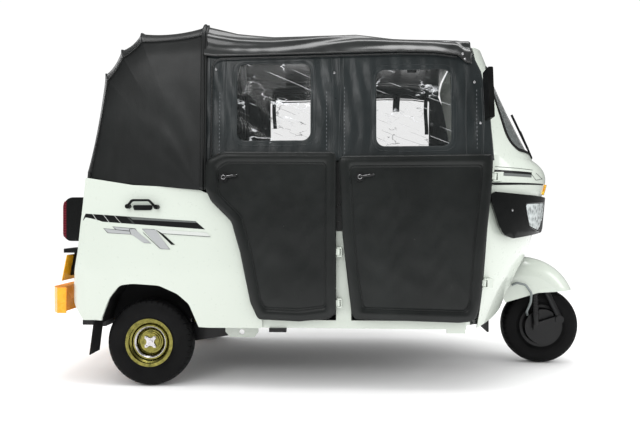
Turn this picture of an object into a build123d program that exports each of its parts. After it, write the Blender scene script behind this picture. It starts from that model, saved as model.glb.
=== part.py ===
from build123d import *
import os
from math import sin, cos, tan, radians

# An auto rickshaw: one steered wheel ahead of a driver's cab with two rows of soft doors,
# a passenger bench behind, and the engine under a lid at the back.
# Millimetres. x runs forward, y to the left, z up, from the ground under the middle.

# Running gear
wheelbase = 1985
front_axle_x = 1140
rear_axle_x = front_axle_x - wheelbase
tyre_radius = 206
tyre_half = 53
bead_radius = 104
rear_wheel_y = 575
axle_z = tyre_radius
rear_shift = rear_axle_x + 845  # the rear tables are drawn for an axle at -845
running_gap = 0.05
spindle_radius = 12

# Steering: the axis leans back and passes through this point
rake = 20
steer_x = 1060
steer_z = 400
stem_radius = 22
crown_radius = 44

# Body
end_x = front_axle_x + tyre_radius
sill_z = 282
floor_z = 320
side_half = 632
skin = 14
cloth = 10
panel_half = side_half - skin
door_inner = side_half + 6
door_thickness = 22
door_outer = door_inner + door_thickness
pillar_x = 75
post_top = 1056
hinge_y = door_inner + 14
hinge_pin = 4
hinge_tube = 8

os.makedirs("parts", exist_ok=True)


def save(name, *solids):
    """Write one node, made of one or more solids."""
    shape = solids[0] if len(solids) == 1 else Compound(children=list(solids))
    export_step(shape, f"parts/{name}.step")


def block(x0, x1, y0, y1, z0, z1):
    """A box between its limits."""
    return Pos((x0 + x1) / 2, (y0 + y1) / 2, (z0 + z1) / 2) * Box(x1 - x0, y1 - y0, z1 - z0)


def outline(points, radii):
    """A closed face whose corners are rounded by one radius or by one each."""
    return make_face(FilletPolyline(*points, radius=radii, close=True))


def inset(points, distance):
    """A polygon's corners moved inward by a distance, or outward by a negative one."""
    corners = [Vector(*point) for point in points]
    area = sum(a.X * b.Y - b.X * a.Y for a, b in zip(corners, corners[1:] + corners[:1]))
    turn = 90 if area > 0 else -90
    moved = []
    for before, here, after in zip(corners[-1:] + corners[:-1], corners, corners[1:] + corners[:1]):
        first = (here - before).normalized().rotate(Axis.Z, turn)
        second = (after - here).normalized().rotate(Axis.Z, turn)
        shift = (first + second) * (distance / (1 + first.dot(second)))
        moved.append((here.X + shift.X, here.Y + shift.Y))
    return moved


def side_slab(face, y0, y1):
    """A face drawn in x and z, as thick as from y0 to y1."""
    plane = Plane((0, y1, 0), x_dir=(1, 0, 0), z_dir=(0, -1, 0))
    return extrude(plane * face, y1 - y0, dir=(0, -1, 0))


def front_slab(face, x0, x1):
    """A face drawn in y and z, as thick as from x0 to x1."""
    plane = Plane((x0, 0, 0), x_dir=(0, 1, 0), z_dir=(1, 0, 0))
    return extrude(plane * face, x1 - x0, dir=(1, 0, 0))


def plan_slab(face, z0, z1):
    """A face drawn in x and y, as thick as from z0 to z1."""
    return extrude(Pos(0, 0, z0) * face, z1 - z0, dir=(0, 0, 1))


def rod(start, end, radius):
    """A round bar between two points."""
    axis = Vector(*end) - Vector(*start)
    return extrude(Plane(origin=start, z_dir=axis) * Circle(radius), axis.length)


def tube_along(points, radii, radius):
    """A round bar bent along straight runs joined by arcs."""
    path = FilletPolyline(*points, radius=radii)
    start = Plane(origin=path @ 0, z_dir=path % 0)
    return sweep(start * Circle(radius), path=path)


def both_sides(solid):
    """The piece and its mirror image across the middle."""
    return [solid, mirror(solid, about=Plane.XZ)]


def at_rear(solid):
    """A piece of the rear end, moved to where the rear axle stands."""
    return Pos(rear_shift, 0, 0) * solid


def rearward(points):
    """Table points (x, z) that keep to the rear axle."""
    return [(x + rear_shift, z) for x, z in points]


def spun(points, centre, outward):
    """A closed profile of (outward distance, radius) turned about a wheel's axle."""
    face = make_face(Polyline(*points, close=True))
    frame = Plane(centre, x_dir=(0, outward, 0), z_dir=(1, 0, 0) if outward > 0 else (-1, 0, 0))
    return revolve(frame * face, Axis(centre, (0, 1, 0)))


def about_steering(points):
    """A closed profile of (radius, height) turned about the steering axis."""
    face = Plane.XZ * make_face(Polyline(*points, close=True))
    return steering_plane.location * revolve(face, Axis.Z)


def on_axis(height):
    """The point of the steering axis this far along it from its reference point."""
    return (steer_x - height * sin(radians(rake)), 0, steer_z + height * cos(radians(rake)))


steering_plane = Plane(
    (steer_x, 0, steer_z),
    x_dir=(cos(radians(rake)), 0, sin(radians(rake))),
    z_dir=(-sin(radians(rake)), 0, cos(radians(rake))),
)

# Nose and windscreen surfaces, as arcs in plan: (height, nose x, side x, half width)
nose_levels = [
    (262, 868, 690, side_half - 46),
    (370, 925, 706, side_half - 39),
    (450, 962, 715, side_half - 32),
    (575, 1030, 726, side_half - 29),
    (700, 1078, 735, side_half - 27),
    (920, 1135, 752, side_half - 27),
    (1090, 1082, 765, side_half - 32),
]
screen_levels = [
    (1090, 1082, 765, side_half - 32),
    (1360, 935, 722, side_half - 42),
    (1640, 800, 662, side_half - 50),
]


def band(levels, outer, inner):
    """A curved wall through the levels, between two offsets from the surface."""
    faces = []
    for z, nose, side, half in levels:
        edges = [
            ThreePointArc((side, -half - outer), (nose + outer, 0), (side, half + outer)),
            Line((side, half + outer), (side, half + inner)),
            ThreePointArc((side, half + inner), (nose + inner, 0), (side, -half - inner)),
            Line((side, -half - inner), (side, -half - outer)),
        ]
        faces.append(Pos(0, 0, z) * make_face(edges))
    return loft(faces)


def filled(levels, shrink=0):
    """The whole room inside the levels, back to their sides, smaller by a wall."""
    faces = []
    for z, nose, side, outer in levels:
        half = outer - shrink
        arc = ThreePointArc((side, -half), (nose - shrink, 0), (side, half))
        faces.append(Pos(0, 0, z) * make_face([arc, Line((side, half), (side, -half))]))
    return loft(faces)


# Steered wheel's recess in the nose: (radius, height along the axis)
recess_steps = [(238, -300), (226, -60), (208, 20), (176, 90), (154, 140), (136, 180)]
recess_top = 190


def recess(extra):
    """The room that the turning wheel and fender need, grown by a wall."""
    wall = [(r + extra, h) for r, h in recess_steps]
    top = recess_top + extra
    return about_steering([(0, recess_steps[0][1]), *wall, (wall[-1][0], top), (0, top)])


def stem_hole():
    """The way for the stem and its crown."""
    return rod(on_axis(100), on_axis(300), crown_radius + 8)


# The nose's lower edge climbs forward, seen from the side
cowl_hem = [(600, 200), (600, 272), (690, 283), (787, 306), (885, 345), (1000, 400), (1000, 200)]


def front_cowl():
    """The pressed nose, from its hem to the screen, open round the steered wheel."""
    hem = side_slab(make_face(Polyline(*cowl_hem, close=True)), -800, 800)
    return band(nose_levels, 0, -skin) - recess(6) - stem_hole() - hem


def front_arch_liner():
    """The bowl over the steered wheel, with a hole for the stem."""
    bowl = (recess(6) - recess(0)) & filled(nose_levels)
    return bowl - stem_hole() - block(600, 1200, -300, 300, 200, 300)


# Windscreen opening, drawn in y and z
screen_corners = [(-505, 1120), (505, 1120), (468, 1545), (-468, 1545)]
rubber_width = 16


def screen_hole(shrink):
    """The screen's rounded outline, as a prism that runs along x."""
    face = outline(screen_corners, 85)
    return front_slab(offset(face, -shrink) if shrink else face, 500, 1300)


# The header's arched top, drawn in y and z
header_arch = [
    (-700, 1000), (700, 1000), (700, 1540), (600, 1576), (560, 1596), (400, 1622), (150, 1636),
    (-150, 1636), (-400, 1622), (-560, 1596), (-600, 1576), (-700, 1540),
]
header_radii = [1, 1, 1, 40, 40, 300, 300, 300, 300, 40, 40, 1]
header_back = 640


def header():
    """The moulded cap that runs from the canopy's front edge out over the screen."""
    under = front_slab(outline([(y, z - 12) for y, z in header_arch], header_radii), 500, 900)
    room = filled(screen_levels) & front_slab(outline(header_arch, header_radii), header_back, 900)
    return room - under


def screen_pieces():
    """The frame with its header, its rubber and the curved glass."""
    arch = front_slab(outline(header_arch, header_radii), 500, 1300)
    frame = (band(screen_levels, 0, -skin) & arch) - screen_hole(0) + header()
    rubber = (band(screen_levels, 4, -skin - 4) & screen_hole(0)) - screen_hole(rubber_width)
    glass = band(screen_levels, -5, -10) & screen_hole(rubber_width)
    return frame, rubber, glass


def chassis_frame():
    """Two box rails with cross members, a neck and the steering head."""
    back = rear_shift - 1170
    rails = [block(back, 780, y - 20, y + 20, 250, 300) for y in (-230, 230)]
    crosses = [block(x, x + 45, -430, 430, 255, 300) for x in (rear_shift - 560, 90, 520)]
    cradle = [block(back + x, back + x + 40, -220, 220, 262, 300) for x in (190, 450)]
    ends = [block(x, x + 45, -250, 250, 250, 300) for x in (back, 735)]
    neck = side_slab(outline([(725, 250), (785, 250), (835, 500), (905, 660), (905, 800), (860, 800),
                              (770, 500)], 1), -30, 30)
    head = rod(on_axis(240), on_axis(520), 34)
    arms = [block(back - 114, back + 20, y - 20, y + 20, 240, 276) for y in (-330, 330)]
    risers = [block(back - 114, back - 86, y - 20, y + 20, 240, 432) for y in (-330, 330)]
    tails = [block(back, back + 45, y - 110, y + 110, 250, 300) for y in (-330, 330)]
    frame = rails[0] + rails[1] + neck + head
    for piece in crosses + cradle + ends + arms + risers + tails:
        frame = frame + piece
    return frame - rod(on_axis(230), on_axis(530), stem_radius + running_gap)


def floor_pan():
    """The floor with turned-down sills, a kick board under the bench and a toe board in the nose."""
    back = rear_shift - 600
    inner = panel_half - 58
    face = outline([(back, -panel_half), (640, -panel_half), (676, -inner - 20), (740, -inner),
                    (740, inner), (676, inner + 20), (640, panel_half), (back, panel_half)], 1)
    floor = plan_slab(face, 300, floor_z)
    for side in (-1, 1):
        low, high = sorted((side * (panel_half - 20), side * panel_half))
        floor = floor + block(back, 640, low, high, sill_z, 300) + block(551, 636, low, high, 264, sill_z)
    kick = block(back + 40, back + 54, 78 - panel_half, panel_half - 78, 300, 600)
    toe = side_slab(outline([(730, 300), (746, 300), (835, 540), (819, 540)], 1), -inner, inner)
    neck_way = block(700, 900, -32, 32, 290, 700)
    room = filled(nose_levels, skin / 2) + block(back - 10, 702, -side_half, side_half, 200, 700)
    return ((floor + kick + toe) & room) - neck_way - recess(6)


def partition():
    """The wall behind the driver, out to the posts between the doors."""
    middle = side_half - 27
    wall = block(pillar_x - 12, pillar_x + 12, -middle, middle, floor_z, 760)
    posts = [block(pillar_x - 35, pillar_x + 35, y - 21, y + 21, floor_z, post_top) for y in (-middle, middle)]
    return wall + posts[0] + posts[1]


# Rear body, each drawn in its own plane: side (x, z), end (y, z) and plan (x, y)
tub_side = [
    (-1150, 1040), (-1165, 831), (-1192, 635), (-1220, 531), (-1227, 403), (-1163, 318),
    (-1150, 150), (-300, 150), (-300, 1040),
]
tub_end = [
    (-side_half, 200), (side_half, 200), (side_half, 800), (side_half - 20, 1040),
    (20 - side_half, 1040), (-side_half, 800),
]
tub_edge = [
    (-1400, 986), (-1140, 986), (-925, 952), (-620, 936), (-540, 900), (-520, 877),
    (-415, 781), (-378, 637), (-330, 405), (-305, 331), (-305, sill_z), (-560, sill_z), (-1100, 313),
    (-1400, 313),
]
arch_edge = [
    (-1080, 250), (-1068, 327), (-1033, 417), (-985, 478), (-922, 486), (-796, 478),
    (-707, 439), (-652, 392), (-590, 250),
]
arch_radii = [1, 40, 60, 50, 200, 90, 90, 60, 1]


def tub_room(depth):
    """The rear body's bulk, smaller at its sides and tail by a depth."""
    side = outline([(x + depth, z) for x, z in tub_side], 12)
    end = outline([(y - depth if y > 0 else y + depth, z) for y, z in tub_end], 1)
    half = side_half - depth
    plan = outline([(-1235 + depth, -half), (0, -half), (0, half), (-1235 + depth, half)],
                   [90 - depth, 1, 1, 90 - depth])
    return side_slab(side, -900, 900) & front_slab(end, -1300, 0) & plan_slab(plan, 200, 1100)


def rear_tub():
    """Quarter panels and tail, with the wheel arches and the engine lid's opening."""
    wall = tub_room(0) - tub_room(skin)
    wall = wall & side_slab(outline(tub_edge, 8), -900, 900)
    for side in (-1, 1):
        low, high = sorted((side * (side_half - 72), side * (side_half + 68)))
        wall = wall - side_slab(outline(arch_edge, arch_radii), low, high)
    return wall - front_slab(outline(lid_corners(0), 30), -1300, -1100)


# Engine lid: its opening, its cooling slots and its hinge line
lid_half = 400
lid_low = 505
lid_high = 880
lid_gap = 7
lid_hinge = (-1174, 890)
lid_hinge_ys = (-250, 250)
slot_half = 70
slot_rows = [600, 625, 650, 675, 700, 725, 750]


def lid_corners(gap):
    """The engine lid's outline in y and z."""
    half = lid_half - gap
    return [(-half, lid_low + gap), (half, lid_low + gap), (half, lid_high - gap), (-half, lid_high - gap)]


def engine_lid():
    """The lid over the engine, with cooling slots, a catch and the tubes of its hinge."""
    lid = (tub_room(1) - tub_room(skin - 1)) & front_slab(outline(lid_corners(lid_gap), 26), -1300, -1100)
    for y in (-190, 0, 190):
        for z in slot_rows:
            lid = lid - block(-1300, -1100, y - slot_half, y + slot_half, z, z + 9)
    x, z = lid_hinge
    for y in lid_hinge_ys:
        tube = rod((x, y - hinge_half, z), (x, y + hinge_half, z), hinge_tube)
        low = block(x - 4, x + 14, y - hinge_half, y + hinge_half, z - 40, z - 22)
        high = block(x - 4, x + 14, y - hinge_half, y + hinge_half, z - 24, z)
        bore = rod((x, y - 30, z), (x, y + 30, z), hinge_pin + running_gap)
        lid = lid + (low - tub_room(1)) + (high - tub_room(-1)) + tube - bore
    return lid + (block(-1240, -1200, -30, 30, 528, 552) - tub_room(1))


def lid_bracket(y):
    """Two ears on the tail that hold one of the lid's hinge pins."""
    x, z = lid_hinge
    bracket = rod((x, y - hinge_half - 7, z), (x, y + hinge_half + 7, z), hinge_pin)
    for start in (y - hinge_half - 7, y + hinge_half + 2):
        ear = rod((x, start, z), (x, start + 5, z), hinge_tube)
        bracket = bracket + ear + block(x - 4, x + 22, start, start + 5, z, z + 22)
    return bracket + block(x + 6, x + 22, y - hinge_half - 7, y + hinge_half + 7, z + 14, z + 34)


def rear_wheel_housing():
    """The black inner arch, open outward and below."""
    outer = side_slab(outline(inset(arch_edge, -5), arch_radii), 470, panel_half)
    inner = side_slab(outline(arch_edge, arch_radii), 475, side_half + 68)
    return (outer - inner) & block(-1200, -500, 400, side_half + 8, 300, 600)


def tyre(centre):
    """A plain four-inch tyre."""
    profile = [
        Line((-43.7, bead_radius), (-43.7, 118)),
        ThreePointArc((-43.7, 118), (-52, 138), (-tyre_half, 160)),
        ThreePointArc((-tyre_half, 160), (-50, 183), (-38, 199)),
        ThreePointArc((-38, 199), (0, tyre_radius), (38, 199)),
        ThreePointArc((38, 199), (50, 183), (tyre_half, 160)),
        ThreePointArc((tyre_half, 160), (52, 138), (43.7, 118)),
        Line((43.7, 118), (43.7, bead_radius)),
        Line((43.7, bead_radius), (-43.7, bead_radius)),
    ]
    frame = Plane(centre, x_dir=(0, 1, 0), z_dir=(1, 0, 0))
    return revolve(frame * make_face(profile), Axis(centre, (0, 1, 0)))


star_side = 54


def rim(centre, outward):
    """A pressed steel rim: stepped barrel, ridged disc, bowl, hub and a star-shaped hub plate."""
    barrel = spun([(-48, 114), (-44, 114), (-44, 104), (44, 104), (44, 114), (48, 114), (48, 99),
                   (30, 99), (26, 91), (-26, 91), (-30, 99), (-48, 99)], centre, outward)
    disc = spun([(14, 92), (20, 92), (26, 86), (31, 82), (31, 73), (26, 68), (14, 62), (9, 56),
                 (9, 26), (3, 26), (3, 60), (8, 66), (20, 72), (22, 80)], centre, outward)
    x, y, z = centre
    hub = rod((x, y - outward * 34, z), (x, y + outward * 15, z), 48)
    hub = hub + rod((x, y + outward * 15, z), (x, y + outward * 22, z), 41)
    star = Rectangle(star_side, star_side)
    for turn in range(4):
        star = star - Pos(36 * cos(radians(90 * turn)), 36 * sin(radians(90 * turn))) * Circle(18)
    plane = Plane((x, y + outward * 20, z), x_dir=(1, 0, 0), z_dir=(0, outward, 0))
    plate = extrude(plane * star, 9)
    cap = rod((x, y + outward * 20, z), (x, y + outward * 33, z), 11)
    for turn in range(4):
        angle = radians(45 + 90 * turn)
        nut_x, nut_z = x + 29 * cos(angle), z + 29 * sin(angle)
        cap = cap + rod((nut_x, y + outward * 20, nut_z), (nut_x, y + outward * 34, nut_z), 5)
    bore = rod((x, y - outward * 50, z), (x, y + outward * 12, z), spindle_radius + running_gap)
    return barrel + disc + hub + plate + cap - bore


def trailing_arm():
    """A left arm with its pivot tube, brake plate and spindle."""
    tail = [(-885, axle_z - 26), (-800, axle_z - 36)]
    arm = side_slab(outline([*tail, (-470, 222), (-460, 268), (-620, 285), (-860, axle_z + 44)], 18), 440, 485)
    pivot = rod((-490, 250, 245), (-490, 485, 245), 22)
    plate = rod((-845, 480, axle_z), (-845, 500, axle_z), 84)
    spindle = rod((-845, 480, axle_z), (-845, rear_wheel_y + 8, axle_z), spindle_radius)
    return arm + pivot + plate + spindle


def rear_damper():
    """A left damper between the arm and the frame, with its spring's envelope."""
    body = rod((-740, 400, 240), (-700, 400, 496), 22)
    spring = rod((-735, 400, 275), (-707, 400, 455), 36)
    foot = rod((-740, 380, 240), (-740, 440, 240), 14)
    return body + spring + foot


# Doors, drawn in x and z
front_door_edge = [
    (54, 1080), (752, 1084), (744, 923), (716, 669), (695, 409), (672, 330), (601, 322),
    (130, 335), (114, 358), (96, 507), (72, 720),
]
front_door_radii = [26, 16, 60, 200, 100, 40, 60, 10, 10, 100, 300]
rear_door_edge = [
    (rear_shift - 562, 1066), (rear_shift - 485, 1102), (38, 1098), (38, 360), (6, 335), (-130, 322),
    *rearward([(-319, 330), (-354, 405), (-402, 637), (-443, 781), (-539, 877), (-566, 935)]),
]
rear_door_radii = [40, 60, 22, 20, 25, 60, 26, 60, 200, 60, 60, 40]
front_door_field = [
    (104, 1034), (704, 1036), (697, 925), (668, 672), (650, 420), (634, 372), (165, 382), (143, 512),
    (122, 724),
]
front_field_radii = [22, 14, 60, 200, 60, 30, 20, 100, 300]
rear_door_field = [
    (rear_shift - 510, 1026), (rear_shift - 472, 1054), (-8, 1050), (-8, 388), (-130, 372),
    *rearward([(-288, 378), (-310, 418), (-356, 652), (-400, 806), (-506, 912)]),
]
rear_field_radii = [30, 40, 18, 20, 60, 26, 60, 200, 60, 50]
door_dish = 5
front_hinge = [(500, 716.7), (985, 762.9)]
rear_hinge = [(405, 51), (640, 51)]
front_hinge_lean = 49 / 514
hinge_half = 14


def hinge_axis(lean, z):
    """Unit direction of a hinge line that leans forward."""
    return Vector(lean, 0, 1).normalized()


def door(edge, radii, field_edge, field_radii, hinges, lean):
    """A covered door with a padded rim, a recessed field and its hinge tubes, at the right."""
    face = outline(edge, radii)
    panel = side_slab(face, -door_outer, -door_inner)
    field = side_slab(outline(field_edge, field_radii), -door_outer - 1, -door_outer + door_dish)
    panel = panel - field
    up = hinge_axis(lean, 0)
    for z, x in hinges:
        centre = Vector(x, -hinge_y, z)
        knuckle = rod(centre - up * hinge_half, centre + up * hinge_half, hinge_tube)
        leaf = Plane(centre, x_dir=(0, 1, 0), z_dir=up).location * Pos(0, 10, 0) * Box(8, 20, 2 * hinge_half)
        bore = rod(centre - up * 30, centre + up * 30, hinge_pin + running_gap)
        panel = panel + leaf + knuckle - bore
    return panel


def door_lock(x, z):
    """A lock ring with its thin lever, on the right side."""
    ring = rod((x, -door_outer + door_dish, z), (x, -door_outer - 14, z), 20)
    lever = rod((x, -door_outer - 10, z), (x + 62, -door_outer - 16, z + 8), 6)
    return ring + lever


def hinge_bracket(x, z, lean, reach):
    """Two ears, their pin and the foot that carries them, at the right."""
    up = hinge_axis(lean, 0)
    centre = Vector(x, -hinge_y, z)
    low = centre - up * (hinge_half + 7)
    high = centre + up * (hinge_half + 7)
    bracket = rod(low, high, hinge_pin)
    for start in (low, centre + up * (hinge_half + 2)):
        middle = start + up * 2.5
        foot = block(middle.X, middle.X + reach[0], -hinge_y - hinge_tube, -reach[1],
                     middle.Z - 2.5, middle.Z + 2.5)
        bracket = bracket + rod(start, start + up * 5, hinge_tube) + foot
    web_x = x + 11
    web = block(web_x, x + reach[0], -hinge_y - hinge_tube, -reach[1],
                z - hinge_half - 6, z + hinge_half + 6)
    return bracket + web


# Canopy, drawn in side (x, z), end (y, z) and plan (x, y)
canopy_side = [
    (700, 900), (690, 1646), (306, 1669), (132, 1690), (-264, 1686),
    *rearward([(-437, 1706), (-600, 1746), (-915, 1716), (-1016, 1633), (-1097, 1516), (-1191, 1019),
               (-1195, 900)]),
]
canopy_half = side_half + 8
canopy_end = [
    (5 - canopy_half, 870), (canopy_half - 5, 870), (canopy_half - 32, 1560), (canopy_half - 105, 1676),
    (0, 1784), (105 - canopy_half, 1676), (32 - canopy_half, 1560),
]
canopy_end_radii = [1, 1, 70, 110, 900, 110, 70]


def canopy_room(depth):
    """The canopy's bulk, smaller all round by a depth."""
    half = canopy_half - depth
    back = rear_shift - 1200 + depth
    side = outline(inset(canopy_side, depth), 14)
    end = outline(inset(canopy_end, depth), canopy_end_radii)
    plan = outline([(back, -half), (900, -half), (900, half), (back, half)], [120 - depth, 1, 1, 120 - depth])
    return side_slab(side, -900, 900) & front_slab(end, back - 100, 900) & plan_slab(plan, 850, 1800)


seam_x = rear_shift - 588
roof_clip = [(seam_x, 1607), (-37, 1576), (650, 1516), (668, 1530), (668, 1820), (seam_x, 1820)]
rear_clip = [
    (seam_x, 1820), (seam_x, 930),
    *rearward([(-925, 952), (-1140, 986), (-1300, 990), (-1300, 1820)]),
]
curtain_clip = [(seam_x, 1060), (768, 1060), (748, 1308), (712, 1476), (655, 1595), (seam_x, 1600)]
window_edges = [
    [(-433, 1154), (-75, 1154), (-75, 1529), (-433, 1529)],
    [(221, 1124), (578, 1124), (578, 1494), (221, 1494)],
]


def canopy_pieces():
    """Roof, rear hood, side curtains and the clear panes in them."""
    full = canopy_room(0)
    inside = canopy_room(cloth)
    shell = full - inside
    lining = inside - canopy_room(cloth + 5)
    roof = shell & side_slab(outline(roof_clip, 4), -900, 900)
    rear = shell & side_slab(outline(rear_clip, 4), -900, 900)
    windows = [side_slab(outline(edge, 42), -900, 900) for edge in window_edges]
    clip = side_slab(outline(curtain_clip, 4), 400, 900)
    left = lining & clip & block(seam_x - 100, 900, canopy_half - 140, 900, 900, 1650)
    curtains = both_sides(left - windows[0] - windows[1])
    panes = both_sides(left & windows[0]) + both_sides(left & windows[1])
    return roof, rear, curtains, panes


# Canopy bows: (foot x, foot z, top x, top z), each a hoop that leans from its foot
bow_table = [
    (rear_shift - 600, 955, rear_shift - 600, 1718), (pillar_x, post_top + 1, pillar_x, 1662),
    (rear_shift - 720, 955, rear_shift - 905, 1684), (rear_shift - 760, 955, rear_shift - 1000, 1606),
]
bow_radius = 11


def canopy_bow(foot_x, foot_z, top_x, top_z):
    """A hoop of bent tube under the cloth."""
    half = []
    foot_y = side_half - 41
    for y, z in ((foot_y, foot_z), (foot_y - 19, 1480), (foot_y - 86, min(top_z - 20, 1606)), (200, top_z)):
        half.append((foot_x + (top_x - foot_x) * (z - foot_z) / (top_z - foot_z), y, z))
    points = half + [(x, -y, z) for x, y, z in reversed(half)]
    return tube_along(points, 60, bow_radius)


def seat_bases():
    """The driver's box and the bench's box, over the engine."""
    driver = block(120, 500, -250, 250, floor_z, 560)
    bench = block(-1100, -562, -455, 455, 500, 600)
    return driver, bench


def driver_cushions():
    """Seat and back of the driver's place."""
    seat = side_slab(outline([(110, 560), (520, 560), (530, 650), (110, 640)], 30), -260, 260)
    back = side_slab(outline([(95, 660), (150, 660), (134, 960), (95, 960)], 15), -260, 260)
    return seat, back


def bench_cushions():
    """Seat and back of the passengers' bench."""
    half = side_half - 92
    seat = side_slab(outline([(-980, 600), (-480, 600), (-470, 700), (-980, 690)], 35), -half, half)
    back = side_slab(outline([(-1060, 720), (-960, 720), (-1020, 1180), (-1090, 1180)], 30), -half, half)
    return seat, back


def fork_stem():
    """The stem, its crown and the single leg that carries the axle at the right."""
    stem = rod(on_axis(195), on_axis(680), stem_radius)
    crown = rod(on_axis(165), on_axis(205), crown_radius)
    x, z = front_axle_x, axle_z
    arm = tube_along([on_axis(185), (x - 90, -55, 535), (x - 20, -90, 470), (x + 82, -90, z + 56)], 30, 17)
    pivot = rod((x + 82, -112, z + 44), (x + 82, -66, z + 44), 22)
    link = side_slab(outline([(x - 55, z - 16), (x + 10, z - 24), (x + 102, z + 30), (x + 102, z + 60),
                              (x + 65, z + 60), (x - 55, z + 20)], 10), -106, -84)
    plate = rod((front_axle_x, -84, axle_z), (front_axle_x, -58, axle_z), 94)
    axle = rod((front_axle_x, -106, axle_z), (front_axle_x, 8, axle_z), spindle_radius)
    return stem + crown + arm + pivot + link + plate + axle


def handlebar():
    """The bar with its two grips."""
    x, _, z = on_axis(665)
    bar = tube_along([(x - 90, -320, z + 10), (x - 70, -230, z + 12), (x, -60, z), (x, 60, z),
                      (x - 70, 230, z + 12), (x - 90, 320, z + 10)], 40, 12)
    grips = [rod((x - 92, side * 330, z + 10), (x - 72, side * 240, z + 12), 18) for side in (-1, 1)]
    clamp = rod(on_axis(640), on_axis(690), 36)
    return bar + grips[0] + grips[1] + clamp - rod(on_axis(600), on_axis(680), stem_radius)


fender_x = 1043
fender_z = 296
fender_crown = 280
fender_half = 128
fender_edge = [
    (918, 366), (950, 443), (1016, 546), (1049, 590), (1350, 590), (1350, 408), (1220, 402),
    (1102, 394), (1045, 376), (932, 342),
]


def fender_arch(inset):
    """The fender's section, turned about a cross axis."""
    half = fender_half - inset
    crown = fender_crown - inset
    edges = [
        Line((-half, 20), (-half, 190)),
        ThreePointArc((-half, 190), (-half * 0.74, crown - 24), (0, crown)),
        ThreePointArc((0, crown), (half * 0.74, crown - 24), (half, 190)),
        Line((half, 190), (half, 20)),
        Line((half, 20), (-half, 20)),
    ]
    centre = (fender_x, 0, fender_z)
    frame = Plane(centre, x_dir=(0, 1, 0), z_dir=(1, 0, 0))
    return revolve(frame * make_face(edges), Axis(centre, (0, 1, 0)))


def front_fender():
    """The deep fender over the steered wheel, open below."""
    shell = fender_arch(0) - fender_arch(5)
    return shell & side_slab(make_face(Polyline(*fender_edge, close=True)), -150, 150)


def front_damper():
    """The damper beside the wheel, with its ribbed bellows."""
    low, high = Vector(1098, -103, axle_z + 16), Vector(1090, -103, 398)
    body = rod(low, high, 15)
    for step in range(8):
        centre = low + (high - low) * (0.3 + 0.085 * step)
        body = body + rod(centre, centre + (high - low) * 0.04, 19)
    return body


def brake_hose():
    """The hose that loops from the crown to the brake."""
    points = [(965, -135, 436), (985, -150, 450), (1030, -154, 440), (1062, -152, 396),
              (1060, -144, 345), (1044, -122, axle_z + 86), (1062, -75, axle_z + 62)]
    return tube_along(points, [18, 24, 26, 50, 28], 6)


# Lamps: outlines in x and z on the nose, and boxes at the tail
lamp_levels = [(660, 1126, 700, side_half + 23), (940, 1152, 705, side_half + 28)]
lamp_edge = [
    (748, 906), (768, 918), (904, 909), (1112, 899), (1118, 886), (1100, 742), (1075, 722), (975, 711),
    (867, 700), (817, 718), (790, 760), (752, 865),
]
lamp_radii = [6, 12, 200, 6, 6, 20, 16, 200, 40, 40, 100, 40]
lens_edge = [(941, 862), (1086, 869), (1084, 806), (1036, 733), (970, 758), (953, 810)]
lens_radii = [10, 14, 30, 14, 14, 40]
amber_edge = [(1040, 914), (1130, 914), (1130, 966), (1040, 966)]


def headlamp():
    """The right lamp housing that wraps round the nose's corner, and its lens."""
    room = filled(lamp_levels)
    shape = side_slab(outline(lamp_edge, lamp_radii), -700, -215)
    pane = side_slab(outline(lens_edge, lens_radii), -700, -225)
    wall = band(nose_levels, 0.3, -skin)
    body = (room & shape) - filled(nose_levels) - wall
    glass = (band(lamp_levels, 3, -5.7) & pane) - filled(nose_levels) - wall
    return body - (band(lamp_levels, 1, -6) & pane), glass


def nose_patch(high, low, edge, radii, y0, y1):
    """A band over the nose, cut to an outline in x and z at the right."""
    return band(nose_levels, high, low) & side_slab(outline(edge, radii), y0, y1)


tail_lamp_edge = [(-1282, 684), (-1282, 896), (-1150, 896), (-1150, 684)]


def tail_lamp():
    """The left tail lamp's housing, round at its back, and its lens."""
    housing = side_slab(outline(tail_lamp_edge, [40, 48, 1, 1]), 452, 572)
    lens = side_slab(outline(inset(tail_lamp_edge, -8), [48, 56, 1, 1]), 464, 560) - housing
    return housing - tub_room(0), lens & block(-1300, -1262, 400, 600, 704, 876)


def plate_lamp():
    """A hooded bar over the plate, with the web that carries both."""
    bar = block(-1292, -1180, -548, -412, 626, 646)
    web = side_slab(outline([(-1263.4, 640), (-1289, 510), (-1180, 520), (-1150, 640)], 2), -485, -475)
    return bar + web - tub_room(0)


def number_plate():
    """The bare plate, which leans out at its foot."""
    return side_slab(outline([(-1268.6, 616), (-1272, 616), (-1297.5, 490), (-1294.1, 490)], 1), -560, -400)


def rear_bumper():
    """A bowed bumper with ends that turn forward."""
    corners = [(-end_x, -540), (-end_x, 540), (-1298, 604), (-1252, 604), (-1284, 540), (-1284, -540),
               (-1252, -604), (-1298, -604)]
    face = outline(corners, [70, 70, 14, 4, 40, 40, 4, 14])
    return plan_slab(face, 340, 462) + extrude(Pos(0, 0, 462) * face, 24, dir=(0, 0, 1), taper=25)


def rear_flap():
    """The left rubber flap behind a rear wheel."""
    return side_slab(outline([(-1105, 312), (-1099, 312), (-1120, 150), (-1126, 150)], 1), 530, side_half + 8)


def front_flap():
    """The rubber flap behind the steered wheel."""
    return front_slab(outline([(-100, 175), (100, 175), (100, 290), (-100, 290)], 12), 843, 849)


def mirror_piece(frame):
    """The left mirror on its bent arm."""
    y = side_half + 16
    head = side_slab(outline([(718, 1240), (740, 1240), (732, 1462), (708, 1462)], 6), y, y + 110)
    return head + rod((775, side_half - 87, 1330), (728, y + 42, 1345), 7) - frame


handle_edge = [
    (-950, 846), (-918, 885), (-834, 885), (-792, 842), (-800, 836), (-838, 874), (-914, 874), (-942, 840),
]
pad_edge = [(-912, 833), (-830, 833), (-822, 857), (-920, 857)]


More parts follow.
